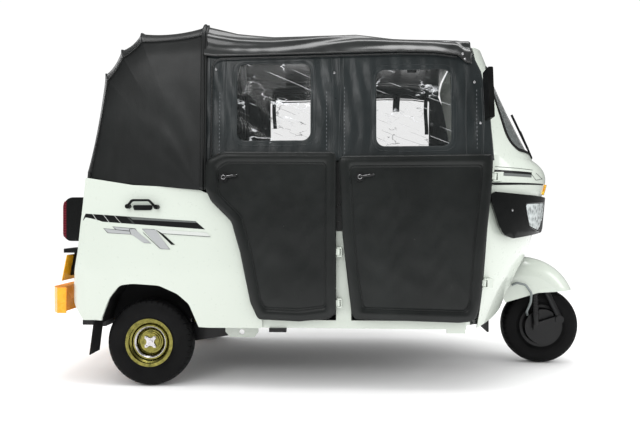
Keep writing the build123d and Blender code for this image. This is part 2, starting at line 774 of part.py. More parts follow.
def grab_handle():
    """The left bracket handle on the quarter panel, over its dark pad."""
    bar = side_slab(outline(handle_edge, [4, 20, 20, 4, 4, 14, 14, 4]), side_half + 14, side_half + 24)
    for x, z in ((-938, 851), (-802, 848)):
        bar = bar + rod((x, side_half - 4, z), (x, side_half + 25, z), 11)
    pad = side_slab(outline(pad_edge, 8), side_half - 8, side_half + 4)
    return bar - tub_room(0), pad - tub_room(0)


# Lashing brackets: the hole's place and size
lash_x = -423
lash_y = 500
lash_z = 240
lash_radius = 13


def lashing_bracket():
    """The left bracket under the floor, with its lashing hole."""
    face = outline([(-504, 300), (-504, 240), (-480, 214), (-362, 214), (-342, 240), (-342, 300)], 8)
    hole = rod((lash_x, lash_y - 20, lash_z), (lash_x, lash_y + 20, lash_z), lash_radius)
    return side_slab(face, lash_y - 4, lash_y + 4) - hole


def screen_point(y, z, lift):
    """A point over the screen's surface, a little in front of it."""
    rows = screen_levels if z > screen_levels[0][0] else [screen_levels[0]] * 2
    low, high = (rows[0], rows[1]) if z <= rows[1][0] else (rows[1], rows[2])
    part = (z - low[0]) / (high[0] - low[0]) if high[0] > low[0] else 0
    nose, side, half = (a + (b - a) * part for a, b in zip(low[1:], high[1:]))
    sag = nose - side
    radius = (half * half + sag * sag) / (2 * sag)
    return (nose + lift - radius + (radius * radius - y * y) ** 0.5, y, z)


def wiper():
    """The arm and blade, parked upright."""
    pivot = screen_point(-60, 1105, 0)
    knee = screen_point(-70, 1120, 22)
    middle = screen_point(-165, 1250, 22)
    arm = rod(pivot, knee, 7) + rod(knee, middle, 5)
    blade = rod(screen_point(-150, 1160, 14), screen_point(-190, 1335, 20), 6)
    return arm + blade


def instrument_panel():
    """The binnacle round the steering column, under the bar."""
    side = outline([(880, 925), (1030, 940), (1030, 1000), (892, 985)], 12)
    plan = outline([(870, -315), (960, -315), (1030, -180), (1030, 180), (960, 315), (870, 315)], 20)
    panel = side_slab(side, -315, 315) & plan_slab(plan, 900, 1100)
    return panel - rod(on_axis(520), on_axis(760), 58)


def engine():
    """The engine and gearbox as one block, with two drive shafts."""
    case = fillet(block(-1080, -640, -190, 190, 300, 495).edges().filter_by(Axis.Y), 30)
    shafts = [rod((-845, side * 190, 348), (-845, side * 431, axle_z + 22), 14) for side in (-1, 1)]
    return case, *shafts


def silencer():
    """The silencer slung under the engine."""
    return rod((-1050, -165, 215), (-1050, 165, 215), 52) + rod((-1040, 60, 230), (-1040, 60, 300), 16)


# The nodes, each saved on its own
cowl = front_cowl()
tub = at_rear(rear_tub())
fork = fork_stem()
save("front_arch_liner", front_arch_liner())
frame_piece, rubber_piece, glass_piece = screen_pieces()
roof_piece, rear_piece, curtain_pieces, pane_pieces = canopy_pieces()
frame_piece = frame_piece - roof_piece
save("front_cowl", cowl)
save("windscreen_frame", frame_piece)
save("windscreen_rubber", rubber_piece)
save("windscreen", glass_piece)
save("chassis_frame", chassis_frame())
save("floor_pan", floor_pan() - cowl - tub)
save("partition", partition())
save("rear_tub", tub)
save("engine_lid", at_rear(engine_lid()))
save("rear_wheel_housings", *both_sides(at_rear(rear_wheel_housing())))
for name, centre, outward in (
    ("front", (front_axle_x, 0, axle_z), 1),
    ("rear_right", (rear_axle_x, -rear_wheel_y, axle_z), -1),
    ("rear_left", (rear_axle_x, rear_wheel_y, axle_z), 1),
):
    save(f"{name}_tyre", tyre(centre))
    save(f"{name}_rim", rim(centre, outward))
save("trailing_arms", *both_sides(at_rear(trailing_arm())))
save("rear_dampers", *both_sides(at_rear(rear_damper())))
front_panel = door(front_door_edge, front_door_radii, front_door_field, front_field_radii,
                   front_hinge, front_hinge_lean)
rear_panel = door(rear_door_edge, rear_door_radii, rear_door_field, rear_field_radii, rear_hinge, 0)
for name, panel, lock in (
    ("front_door", front_panel, door_lock(150, 985)),
    ("rear_door", rear_panel, door_lock(rear_shift - 480, 985)),
):
    for side, panels, locks in zip(("right", "left"), both_sides(panel), both_sides(lock)):
        save(f"{name}_{side}", panels)
        save(f"{name}_lock_{side}", locks)
brackets = [hinge_bracket(x, z, front_hinge_lean, (36, side_half - 77)) - cowl for z, x in front_hinge]
brackets += [hinge_bracket(x, z, 0, (15, side_half - 6)) for z, x in rear_hinge]
lid_brackets = [at_rear(lid_bracket(y)) - tub for y in lid_hinge_ys]
save("hinge_brackets", *[piece for bracket in brackets for piece in both_sides(bracket)], *lid_brackets)
save("canopy_roof", roof_piece)
save("canopy_rear", rear_piece)
save("side_curtains", *curtain_pieces)
save("window_panes", *pane_pieces)
save("canopy_bows", *[canopy_bow(*row) for row in bow_table])
driver_base, bench_base = seat_bases()
save("seat_bases", driver_base, at_rear(bench_base))
save("driver_cushions", *driver_cushions())
save("bench_cushions", *[at_rear(pad) for pad in bench_cushions()])
save("fork_stem", fork)
save("handlebar", handlebar())
save("front_fender", front_fender() - fork)
save("front_damper", front_damper() - fork)
save("brake_hose", brake_hose() - fork)
lamp_body, lamp_glass = headlamp()
save("headlamp_housings", *both_sides(lamp_body))
save("headlamp_lenses", *both_sides(lamp_glass))
save("indicators", *both_sides(nose_patch(10, 0.2, amber_edge, 6, -236, -158)))
housing, lens = tail_lamp()
save("tail_lamp_housings", *both_sides(at_rear(housing)))
save("tail_lamp_lenses", *both_sides(at_rear(lens)))
save("plate_lamp", at_rear(plate_lamp()))
save("number_plate", at_rear(number_plate()))
save("rear_bumper", at_rear(rear_bumper()))
save("rear_mud_flaps", *both_sides(at_rear(rear_flap())))
save("front_mud_flap", front_flap())
save("mirrors", *both_sides(mirror_piece(frame_piece)))
save("grab_handles", *[at_rear(side) for piece in grab_handle() for side in both_sides(piece)])
save("lashing_brackets", *both_sides(lashing_bracket()))
save("side_steps", *both_sides(block(-273, -193, side_half - 34, side_half, sill_z - 18, sill_z)))
save("wiper", wiper() - frame_piece)
save("instrument_panel", instrument_panel() - cowl)
save("engine_block", *[at_rear(piece) for piece in engine()])
save("silencer", at_rear(silencer()))
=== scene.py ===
import math
import bmesh
import bpy
import numpy as np
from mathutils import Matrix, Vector


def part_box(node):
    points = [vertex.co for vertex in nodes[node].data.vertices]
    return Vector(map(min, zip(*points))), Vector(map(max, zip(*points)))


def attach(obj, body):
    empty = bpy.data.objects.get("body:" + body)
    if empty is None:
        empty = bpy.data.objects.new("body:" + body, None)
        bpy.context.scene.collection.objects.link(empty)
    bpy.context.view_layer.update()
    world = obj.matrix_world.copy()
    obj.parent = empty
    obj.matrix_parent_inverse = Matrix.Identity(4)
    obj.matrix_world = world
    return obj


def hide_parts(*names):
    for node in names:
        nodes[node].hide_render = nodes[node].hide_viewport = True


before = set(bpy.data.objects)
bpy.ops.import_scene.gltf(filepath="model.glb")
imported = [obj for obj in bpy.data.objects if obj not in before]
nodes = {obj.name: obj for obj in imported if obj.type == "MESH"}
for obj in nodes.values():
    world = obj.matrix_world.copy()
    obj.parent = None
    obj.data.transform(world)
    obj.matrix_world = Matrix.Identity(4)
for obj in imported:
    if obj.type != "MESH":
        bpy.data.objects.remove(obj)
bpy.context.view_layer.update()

print("frame loaded:", len(nodes), "nodes")

# Camera on the right side of the vehicle, level, turned a little towards the rear
camera = {"place": (0.126, -3.6, 0.815), "yaw": 3.1, "lens": 36.0, "sensor": 36.0}

cameraData = bpy.data.cameras.new("camera")
cameraData.lens = camera["lens"]
cameraData.sensor_width = camera["sensor"]
cameraObject = bpy.data.objects.new("camera", cameraData)
cameraObject.location = camera["place"]
cameraObject.rotation_euler = (math.radians(90), 0, math.radians(camera["yaw"]))
bpy.context.scene.collection.objects.link(cameraObject)
bpy.context.scene.camera = cameraObject


class Wire:
    # one node output; arithmetic on it adds Math nodes
    def __init__(self, tree, socket):
        self.tree, self.socket = tree, socket

    def math(self, operation, *others):
        node = self.tree.nodes.new("ShaderNodeMath")
        node.operation = operation
        for slot, value in zip(node.inputs, (self, *others)):
            feed(self.tree, slot, value)
        return Wire(self.tree, node.outputs[0])

    def __add__(self, other): return self.math("ADD", other)
    def __radd__(self, other): return self.math("ADD", other)
    def __sub__(self, other): return self.math("SUBTRACT", other)
    def __rsub__(self, other): return (self * -1) + other
    def __mul__(self, other): return self.math("MULTIPLY", other)
    def __rmul__(self, other): return self.math("MULTIPLY", other)
    def __gt__(self, other): return self.math("GREATER_THAN", other)
    def __lt__(self, other): return self.math("LESS_THAN", other)
    def __abs__(self): return self.math("ABSOLUTE")
    def sin(self): return self.math("SINE")
    def least(self, other): return self.math("MINIMUM", other)
    def power(self, other): return self.math("POWER", other)

    def ramp(self, low, high):  # 0 below low, 1 above high, straight between
        node = self.tree.nodes.new("ShaderNodeMapRange")
        feed(self.tree, node.inputs["Value"], self)
        node.inputs["From Min"].default_value, node.inputs["From Max"].default_value = low, high
        return Wire(self.tree, node.outputs[0])


def feed(tree, slot, value):
    # puts a number, a colour or a wire into a socket
    if isinstance(value, Wire):
        tree.links.new(value.socket, slot)
    else:
        slot.default_value = value


finishes = {}  # materials by name


class Finish:
    # a material with one Principled shader, listed in finishes, and a maker of nodes
    names = {"color": "Base Color", "roughness": "Roughness", "metallic": "Metallic", "coat": "Coat Weight",
             "alpha": "Alpha", "specular": "Specular IOR Level", "sheen": "Sheen Weight",
             "coatRoughness": "Coat Roughness"}

    def __init__(self, name, **values):
        self.material = finishes[name] = bpy.data.materials.new(name)
        self.material.use_nodes = True
        self.tree = self.material.node_tree
        self.shader = next(n for n in self.tree.nodes if n.type == "BSDF_PRINCIPLED")
        self.place = self.node("ShaderNodeTexCoord", "Object")
        for key, value in values.items():
            self.set(key, value)

    def set(self, key, value):
        if key == "color" and not isinstance(value, Wire):
            value = (*value[:3], 1)
        feed(self.tree, self.shader.inputs[self.names[key]], value)

    def node(self, kind, output=0, **inputs):
        node = self.tree.nodes.new(kind)
        for key, value in inputs.items():
            feed(self.tree, node.inputs[key], value)
        return Wire(self.tree, node.outputs[output])

    def axes(self):
        split = self.tree.nodes.new("ShaderNodeSeparateXYZ")
        feed(self.tree, split.inputs[0], self.place)
        return [Wire(self.tree, out) for out in split.outputs]

    def noise(self, scale, detail=3.0, place=None, roughness=0.5):
        return self.node("ShaderNodeTexNoise", "Fac", Vector=place or self.place, Scale=scale, Detail=detail,
                         Roughness=roughness)

    def mapped(self, scale, turn=(0, 0, 0)):  # coordinates turned and scaled by axis
        return self.node("ShaderNodeMapping", "Vector", Vector=self.place, Scale=scale, Rotation=turn)

    def mix(self, amount, first, second):
        node = self.tree.nodes.new("ShaderNodeMix")
        node.data_type = "RGBA"
        feed(self.tree, node.inputs[0], amount)
        for slot, value in ((node.inputs[6], first), (node.inputs[7], second)):
            feed(self.tree, slot, value if isinstance(value, Wire) else (*value[:3], 1))
        return Wire(self.tree, node.outputs[2])

    def bump(self, height, distance, strength=1.0, under=None):
        inputs = {"Height": height, "Distance": distance, "Strength": strength}
        if under:
            inputs["Normal"] = under
        wire = self.node("ShaderNodeBump", "Normal", **inputs)
        feed(self.tree, self.shader.inputs["Normal"], wire)
        return wire


# Colours, as plain linear values
tone = {
    "paint": (0.585, 0.635, 0.572), "vinyl": (0.0062, 0.0076, 0.0072), "canopy": (0.0125, 0.0140, 0.0140),
    "hood": (0.0085, 0.0095, 0.0094),
    "curtain": (0.0140, 0.0182, 0.0192), "black": (0.0035, 0.0038, 0.0038), "rubber": (0.005, 0.005, 0.005),
    "bumper": (0.86, 0.30, 0.008), "plate": (0.74, 0.36, 0.012), "rim": (0.31, 0.275, 0.075),
    "steel": (0.60, 0.60, 0.61), "seat": (0.012, 0.012, 0.013), "glass": (0.10, 0.12, 0.115),
    "silver": (0.33, 0.34, 0.345), "ink": (0.006, 0.0065, 0.0065), "red": (0.07, 0.002, 0.006),
    "amber": (0.75, 0.20, 0.008), "floor": (0.94, 0.94, 0.94), "grey": (0.11, 0.12, 0.115),
    "hose": (0.16, 0.18, 0.18), "pale": (0.50, 0.52, 0.50), "thread": (0.16, 0.17, 0.18),
}


# Where one finish gives way to another: the plated disc on the rear rims about their axle, the foot of the painted
# shade on the posts between the doors, the matting inside the sills and the red part of the tail lamps
border = {
    "axleX": -0.845, "axleZ": 0.206, "disc": 0.075, "discY": 0.6, "doorGapShadeFoot": 0.735, "matY": 0.597, "matZ": 0.3195,
    "lensX": -1.268,
}


def bodyPaint(name, darkness=None):
    # greenish white enamel under a clear coat, with faint dusty patches and darker towards the ground; darkness(x,
    # y, z) blackens a place
    finish = Finish(name, coat=0.7, coatRoughness=0.06, specular=0.5)
    x, y, z = finish.axes()
    dust = finish.noise(3.0, 4).ramp(0.35, 0.75)
    low = 1 - z.ramp(0.28, 0.6)
    colour = finish.mix(dust * 0.1 + low * 0.2, tone["paint"], (0.46, 0.49, 0.43))
    if darkness:
        colour = finish.mix(darkness(x, y, z), colour, tone["vinyl"])
    finish.set("color", colour)
    finish.set("roughness", finish.noise(60, 3) * 0.1 + 0.24)
    finish.bump(finish.noise(420, 2), 0.00015, 0.25)


def coarseBlack(name, colour=tone["black"], rough=0.5, grain=900, depth=0.0002, shine=0.16):
    # moulded or sprayed finish with a fine grain
    finish = Finish(name, specular=shine)
    spots = finish.noise(14, 4).ramp(0.3, 0.8)
    finish.set("color", finish.mix(spots, colour, [value * 1.5 + 0.002 for value in colour]))
    finish.set("roughness", spots * 0.16 + rough)
    finish.bump(finish.noise(grain, 2), depth, 0.4)


def glossBlack(name):
    finish = Finish(name, coat=0.35, coatRoughness=0.04, specular=0.1)
    finish.set("color", finish.mix(finish.noise(20, 3), (0.003, 0.0035, 0.0035), (0.006, 0.0065, 0.0065)))
    finish.set("roughness", finish.noise(30, 3) * 0.12 + 0.12)
    finish.bump(finish.noise(300, 2), 0.0001, 0.2)


def metal(name, colour, rough, metallic=1.0):
    # plated or bare metal with faint brushing
    finish = Finish(name, metallic=metallic)
    brushed = finish.noise(60, 4, finish.mapped((1, 1, 12)))
    finish.set("color", finish.mix(brushed.ramp(0.3, 0.7), colour, [value * 0.72 for value in colour]))
    finish.set("roughness", brushed * 0.18 + rough)
    finish.bump(finish.noise(500, 2), 0.0001, 0.3)


def rimMetal(name):
    # yellow passivated steel, with a plain plated plate over the hub
    finish = Finish(name, metallic=1.0)
    x, y, z = finish.axes()
    across, up = x - border["axleX"], z - border["axleZ"]
    reach = (across * across + up * up).power(0.5)
    plate = (reach < border["disc"]) * (abs(y) > border["discY"])
    brushed = finish.noise(40, 4)
    colour = finish.mix(brushed.ramp(0.3, 0.7), tone["rim"], (0.13, 0.125, 0.035))
    finish.set("color", finish.mix(plate, colour, (0.62, 0.60, 0.62)))
    finish.set("roughness", brushed * 0.2 + 0.16)
    finish.bump((reach * 1400).sin(), 0.0002, 0.3)


def film(name, colour, rough):
    # sticker film or thread with a fine grain
    finish = Finish(name, coat=0.1, coatRoughness=0.1, specular=0.15)
    grain = finish.noise(700, 2)
    finish.set("color", finish.mix(grain, colour, [value * 1.25 for value in colour]))
    finish.set("roughness", grain * 0.08 + rough)


def paper(name, colour):
    # matt studio floor that mirrors nothing
    finish = Finish(name, specular=0.0)
    finish.set("color", finish.mix(finish.noise(3, 2), colour, [value * 1.01 for value in colour]))
    finish.set("roughness", finish.noise(5, 2) * 0.1 + 0.9)


def vinyl(name, colour, rough, sheen, weave=1500, crease=0.0012, creaseScale=9.0, rub=1.6,
          shine=0.22, gloss=0.0):
    # leathercloth: a fine pebble, long soft creases that are also drawn paler as a painted sheen, and paler rubbed
    # places
    finish = Finish(name, sheen=sheen, specular=shine, coat=gloss, coatRoughness=0.16)
    rubbed = finish.noise(4, 5).ramp(0.42, 0.8)
    creaseAndSheen = finish.noise(creaseScale, 6, finish.mapped((1, 1, 0.16)), 0.62)
    worn = finish.mix(rubbed, colour, [value * rub + 0.002 for value in colour])
    # painted sheen: the colour is lifted along the long creases
    finish.set("color", finish.mix(creaseAndSheen.ramp(0.56, 0.74) * 0.4, worn, [value * 2.2 for value in colour]))
    finish.set("roughness", finish.noise(18, 4) * 0.22 + rough - 0.11)
    first = finish.bump(finish.noise(creaseScale, 5, finish.mapped((1, 1, 0.45)), 0.6), crease * 6, 0.5)
    second = finish.bump(creaseAndSheen, crease * 3, 0.5, first)
    pebble = finish.node("ShaderNodeTexVoronoi", "Distance", Vector=finish.place, Scale=weave)
    finish.bump(pebble, 0.0002, 0.3, second)


def clearSheet(name, colour, alpha, rough, ripple, glints):
    # see-through sheet; crumpled patches and long creases that slant down forward carry painted glints, thin pale
    # lines in its colour and alpha
    finish = Finish(name, specular=0.7, coat=0.8, coatRoughness=0.03)
    x, y, z = finish.axes()
    crinkle = finish.noise(1.0, 6, finish.mapped((ripple, ripple, ripple * 2.2), (0, 0.55, 0)), 0.58)
    line = 1 - abs(crinkle - 0.5).ramp(0.0, 0.015)
    patch = finish.noise(6.5, 2).ramp(0.50, 0.59)
    slope = (z + x * 0.40 + finish.noise(3.0, 2) * 0.03) * 17
    straight = 1 - abs(slope.math("FRACT") - 0.5).ramp(0.0, 0.035)
    broken = finish.noise(1.0, 2, finish.mapped((5, 5, 14))).ramp(0.50, 0.60)
    glint = ((line * patch + straight * broken * 0.8) * glints).least(1.0)
    # painted highlights: the glint lines are whitened and made less clear
    finish.set("color", finish.mix(glint, colour, (0.95, 0.97, 1.0)))
    finish.set("alpha", (glint * 0.85 + alpha).least(1.0))
    finish.set("roughness", crinkle * 0.1 + rough)
    finish.bump(crinkle, 0.006, 0.5)
    finish.material.surface_render_method = "DITHERED"


def lampGlass(name, colour, ribs):
    # moulded lens with upright prisms over a facetted reflector; prisms and facets are drawn lighter in its colour
    # as a painted reflection
    finish = Finish(name, specular=0.7, coat=0.8, coatRoughness=0.03)
    x, y, z = finish.axes()
    prism = ((x + y) * ribs).sin() * 0.5 + 0.5
    facet = finish.node("ShaderNodeTexVoronoi", "Distance", Vector=finish.place, Scale=42.0)
    shine = (prism * 0.3 + facet.ramp(0.15, 0.7) * 0.9).least(1.0)
    # painted reflection: the lens colour is lightened on the prisms and the reflector's facets
    finish.set("color", finish.mix(shine, colour, [min(value * 3.2 + 0.03, 1) for value in colour]))
    finish.set("roughness", prism * 0.1 + 0.08)
    finish.bump(facet, 0.004, 0.5, finish.bump(prism, 0.0006, 0.5))


def tailLamp(name):
    # one moulding: a black body with a dark red lens wrapped round its rear edge
    finish = Finish(name, coat=0.5, coatRoughness=0.04, specular=0.3)
    x, y, z = finish.axes()
    lens = x < border["lensX"]
    prism = (z * 520).sin() * 0.5 + 0.5
    finish.set("color", finish.mix(lens, tone["black"], finish.mix(prism, tone["red"], (0.12, 0.003, 0.012))))
    finish.set("roughness", prism * lens * 0.1 + 0.2)
    finish.bump(prism * lens, 0.0006, 0.5)


def pillarPaintedShade(x, y, z):
    # painted shade: the posts are blackened above their lower third, where the gap between the doors is narrow
    return z > border["doorGapShadeFoot"]


def insideDark(x, y, z):
    # the floor is matted black inside its painted sills
    return ((abs(y) < border["matY"]) + (z > border["matZ"])).least(1)


bodyPaint("bodyPaint")
bodyPaint("pillarPaint", pillarPaintedShade)
bodyPaint("floorPaint", insideDark)
coarseBlack("innerBlack", (0.004, 0.004, 0.0045), 0.7)
coarseBlack("mouldedBlack", tone["black"], 0.36)
glossBlack("glossBlack")
coarseBlack("frameBlack", (0.0035, 0.0035, 0.004), 0.3, 500, 0.0004, 0.35)
coarseBlack("rubber", tone["rubber"], 0.55, 700, 0.0003)
tailLamp("tailLamp")
coarseBlack("hose", tone["hose"], 0.3, 500, 0.0002, 0.5)
coarseBlack("tyreRubber", (0.003, 0.003, 0.0032), 0.42, 900, 0.0003, 0.1)
rimMetal("rimSteel")
metal("steel", tone["steel"], 0.22)
coarseBlack("lockBlack", (0.006, 0.006, 0.0065), 0.25, 500, 0.0001, 0.4)
metal("engineMetal", (0.20, 0.20, 0.20), 0.5)
vinyl("doorVinyl", tone["vinyl"], 0.34, 0.02, creaseScale=4, rub=1.5, shine=0.32)
vinyl("canopyVinyl", tone["canopy"], 0.32, 0.04, crease=0.0008, shine=0.45, gloss=0.6)
vinyl("hoodVinyl", tone["hood"], 0.42, 0.02, crease=0.0008, shine=0.28, gloss=0.1)
vinyl("curtainVinyl", tone["curtain"], 0.32, 0.05, creaseScale=15, shine=0.45)
vinyl("bindingVinyl", (0.004, 0.0045, 0.0045), 0.25, 0.0, shine=0.6)
vinyl("seatVinyl", tone["seat"], 0.45, 0.05)
clearSheet("screenGlass", tone["glass"], 0.55, 0.02, 0.5, 0.0)
clearSheet("clearVinyl", (0.10, 0.11, 0.11), 0.13, 0.05, 4.2, 1.0)
lampGlass("lens", (0.17, 0.185, 0.185), 260)
lampGlass("redLens", tone["red"], 700)
lampGlass("amberLens", tone["amber"], 900)
coarseBlack("bumper", tone["bumper"], 0.2, 400, 0.0001, 0.5)
coarseBlack("plate", tone["plate"], 0.32, 400, 0.0001, 0.5)
for name, rough in (("ink", 0.3), ("grey", 0.3), ("silver", 0.32), ("pale", 0.32)):
    film(f"{name}Film", tone[name], rough)
film("thread", tone["thread"], 0.6)
paper("floorPaper", tone["floor"])
print("finishes made:", len(finishes))

wearing = {
    "bodyPaint": ["windscreen_frame", "engine_lid", "front_fender", "lashing_brackets", "rear_tub", "front_cowl",
                  "hinge_brackets", "front_door_right", "front_door_left", "rear_door_right", "rear_door_left"],
    "pillarPaint": ["partition"], "floorPaint": ["floor_pan"],
    "innerBlack": ["front_arch_liner", "rear_wheel_housings", "seat_bases"],
    "mouldedBlack": ["instrument_panel", "plate_lamp", "mirrors", "wiper", "grab_handles"],
    "tailLamp": ["tail_lamp_housings"], "glossBlack": ["headlamp_housings"],
    "frameBlack": ["chassis_frame", "trailing_arms", "rear_dampers", "fork_stem", "front_damper", "canopy_bows",
                   "silencer", "side_steps", "handlebar", "front_rim"],
    "rubber": ["windscreen_rubber", "rear_mud_flaps", "front_mud_flap"], "hose": ["brake_hose"],
    "rimSteel": ["rear_right_rim", "rear_left_rim"],
    "lockBlack": ["front_door_lock_right", "front_door_lock_left", "rear_door_lock_right", "rear_door_lock_left"],
    "engineMetal": ["engine_block"],
    "screenGlass": ["windscreen"], "clearVinyl": ["window_panes"], "lens": ["headlamp_lenses"],
    "redLens": ["tail_lamp_lenses"], "amberLens": ["indicators"], "bumper": ["rear_bumper"],
    "plate": ["number_plate"],
}
for finishName, names in wearing.items():
    for name in names:
        nodes[name].data.materials.clear()
        nodes[name].data.materials.append(finishes[finishName])


sides = (("right", -1), ("left", 1))


def circle(count):
    # angles once round
    return np.linspace(0, 2 * math.pi, count, endpoint=False)


def around(middle, reach, angle):
    # x and z of the points at a distance and an angle from a middle
    return middle[0] + reach * np.cos(angle), middle[1] + reach * np.sin(angle)


def spots(x, y, z):
    # three arrays as one of points
    return np.stack(np.broadcast_arrays(x, y, z), -1)


def gridFaces(rows, columns, wrapU=False, wrapV=False):
    # four-sided faces between the points of a grid
    index = np.arange(rows * columns).reshape(rows, columns)
    if wrapU:
        index = np.vstack([index, index[:1]])
    if wrapV:
        index = np.hstack([index, index[:, :1]])
    return np.stack([index[:-1, :-1], index[1:, :-1], index[1:, 1:], index[:-1, 1:]], -1).reshape(-1, 4)


def surfaceMesh(name, points, finish, wrapU=False, wrapV=False):
    # a grid of points (rows, columns, 3) as one mesh
    faces = gridFaces(*points.shape[:2], wrapU, wrapV)
    return meshFrom(name, points.reshape(-1, 3), faces, finish)


def meshFrom(name, points, faces, finish):
    # points and equal-sided faces into a linked object
    mesh = bpy.data.meshes.new(name)
    mesh.from_pydata(points.tolist(), [], faces.tolist())
    mesh.polygons.foreach_set("use_smooth", [True] * len(faces))
    mesh.materials.append(finishes[finish])
    mesh.update()
    piece = bpy.data.objects.new(name, mesh)
    bpy.context.scene.collection.objects.link(piece)
    return piece


def joined(name, pieces):
    # several meshes of one finish as one piece
    bpy.ops.object.select_all(action="DESELECT")
    for piece in pieces:
        piece.select_set(True)
    bpy.context.view_layer.objects.active = pieces[0]
    bpy.ops.object.join()
    pieces[0].name = name
    return pieces[0]


def applied(piece, kind, **settings):
    # one modifier, set and applied at once
    modifier = piece.modifiers.new(kind, kind)
    for key, value in settings.items():
        setattr(modifier, key, value)
    bpy.context.view_layer.objects.active = piece
    bpy.ops.object.modifier_apply(modifier=modifier.name)
    return piece


def outward(piece):
    # faces made to agree and to point out
    work = bmesh.new()
    work.from_mesh(piece.data)
    bmesh.ops.remove_doubles(work, verts=work.verts, dist=0.00003)
    bmesh.ops.recalc_face_normals(work, faces=work.faces)
    work.to_mesh(piece.data)
    work.free()
    return piece


def thickened(piece, depth):
    return applied(piece, "SOLIDIFY", thickness=depth, offset=-1.0)


def onBody(piece, body):
    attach(piece, body)
    return piece


def unitSteps(path, closed):
    # directions along a path: half the step from the point before to the point after, made one long
    step = (np.roll(path, -1, 0) - np.roll(path, 1, 0)) if closed else np.gradient(path, axis=0)
    return step / np.linalg.norm(step, axis=1)[:, None]


def tubeSurface(path, radius, finish, closed=False, up=(0, 1, 0), edges=10, wide=1.0, name="tube"):
    # circle of the radius carried along a path; its frame is the tangent and two crosses with a fixed direction;
    # wide flattens it to a strap
    ahead = unitSteps(path, closed)
    first = np.cross(ahead, np.array(up, float))
    first /= np.linalg.norm(first, axis=1)[:, None]
    second = np.cross(ahead, first)
    turn = circle(edges)[None, :, None]
    ring = wide * np.cos(turn) * first[:, None, :] + np.sin(turn) * second[:, None, :]
    points = path[:, None, :] + radius * ring
    if not closed:  # the ends close to a point
        points = np.concatenate([np.repeat(path[:1, None, :], edges, 1), points,
                                 np.repeat(path[-1:, None, :], edges, 1)])
    return outward(surfaceMesh(name, points, finish, wrapU=closed, wrapV=True))


def domes(places, size, finish, side=-1, name="domes"):
    # half ellipsoids at many places in one mesh, standing out along y; size is (along x, along z, height)
    lift = np.linspace(0, math.pi / 2, 6)[:, None]
    turn = circle(14)[None, :]
    local = spots(np.cos(lift) * np.cos(turn) * size[0], side * np.sin(lift) * size[2],
                  np.cos(lift) * np.sin(turn) * size[1])
    points = np.asarray(places, float)[:, None, None, :] + local[None]
    faces = gridFaces(6, 14, wrapV=True)
    every = faces[None] + (np.arange(len(places)) * local[..., 0].size)[:, None, None]
    return outward(meshFrom(name, points.reshape(-1, 3), every.reshape(-1, 4), finish))


# The canopy's cloth: foot is where its sides start, halfWidth and narrowing their lean, crown the camber on top,
# sag and peak how far it hangs in between the bows and stands up on them, fold and slack the depth of its creases,
# bindingBack and bindingRadius the curtain's bound rear edge and corner
canopyCloth = {
    "foot": 0.926, "halfWidth": 0.637, "narrowing": 0.038, "squareness": 12.0, "crown": 0.020,
    "sag": [0.026, 0.020, 0.020, 0.016], "peak": 0.007, "fold": 0.0004, "slack": 0.0016, "thickness": 0.0025,
    "seam": 0.905, "bindingBack": -0.546, "bindingRadius": 0.05,
}
# ridge line of the roof, then the hood's back over its bows, and the roof's side hem: x and z
roofLine = np.array([(0.668, 1.662), (0.40, 1.676), (0.306, 1.681), (0.132, 1.702), (-0.10, 1.699),
                     (-0.264, 1.699), (-0.437, 1.716), (-0.595, 1.753)])
hoodLine = np.array([(-0.595, 1.753), (-0.925, 1.722), (-1.026, 1.640), (-1.108, 1.521), (-1.205, 1.026),
                     (-1.208, 0.985)])
valanceLine = np.array([(0.668, 1.512), (0.637, 1.520), (0.604, 1.556), (0.50, 1.572), (0.337, 1.576),
                        (-0.13, 1.568), (-0.534, 1.562), (-0.595, 1.570)])


def archSection(angle, top, foot):
    # superellipse arch: |y/w|^n + |h/H|^n = 1, less a crown that grows with y squared
    power = 2 / canopyCloth["squareness"]
    side, rise = np.cos(angle), np.sin(angle)
    share = np.abs(rise) ** power
    half = canopyCloth["halfWidth"] - canopyCloth["narrowing"] * share
    y = half * np.sign(side) * np.abs(side) ** power
    height = (top - foot) * share - canopyCloth["crown"] * (y / half) ** 2 * share ** 8
    return y, height


def archTable():
    # angles evenly spread along a standard arch, with the length run at each: a power law that crowds the foot of
    # the walls, then one that crowds the crown
    n = canopyCloth["squareness"]
    wall = np.arcsin(np.linspace(0, 0.9, 500) ** (n / 2))
    top = np.arccos(np.linspace(np.cos(wall[-1]) ** (2 / n), 0, 500)[1:] ** (n / 2))
    half = np.concatenate([wall, top])
    angle = np.concatenate([half, math.pi - half[-2::-1]])
    y, height = archSection(angle, 0.80, 0.0)
    return angle, np.concatenate([[0], np.cumsum(np.hypot(np.diff(y), np.diff(height)))])


def spread(start, count):
    # count angles from start over the arch to the same height on the other side, evenly by length
    angle, run = archTable()
    low = np.interp(start, angle, run)
    return np.interp(low + (run[-1] - 2 * low) * np.linspace(0, 1, count)[None, :], run, angle)


def ridgeHeight(x):
    return np.interp(-x, -roofLine[:, 0], roofLine[:, 1])


def hemHeight(x):
    return np.interp(-x, -valanceLine[:, 0], valanceLine[:, 1])


def wallY(x, z):
    # half width of the cloth side: the same superellipse solved for y
    n = canopyCloth["squareness"]
    share = np.clip((z - canopyCloth["foot"]) / (ridgeHeight(x) - canopyCloth["foot"]), 0, 0.985)
    return (canopyCloth["halfWidth"] - canopyCloth["narrowing"] * share) * (1 - share ** n) ** (1 / n)


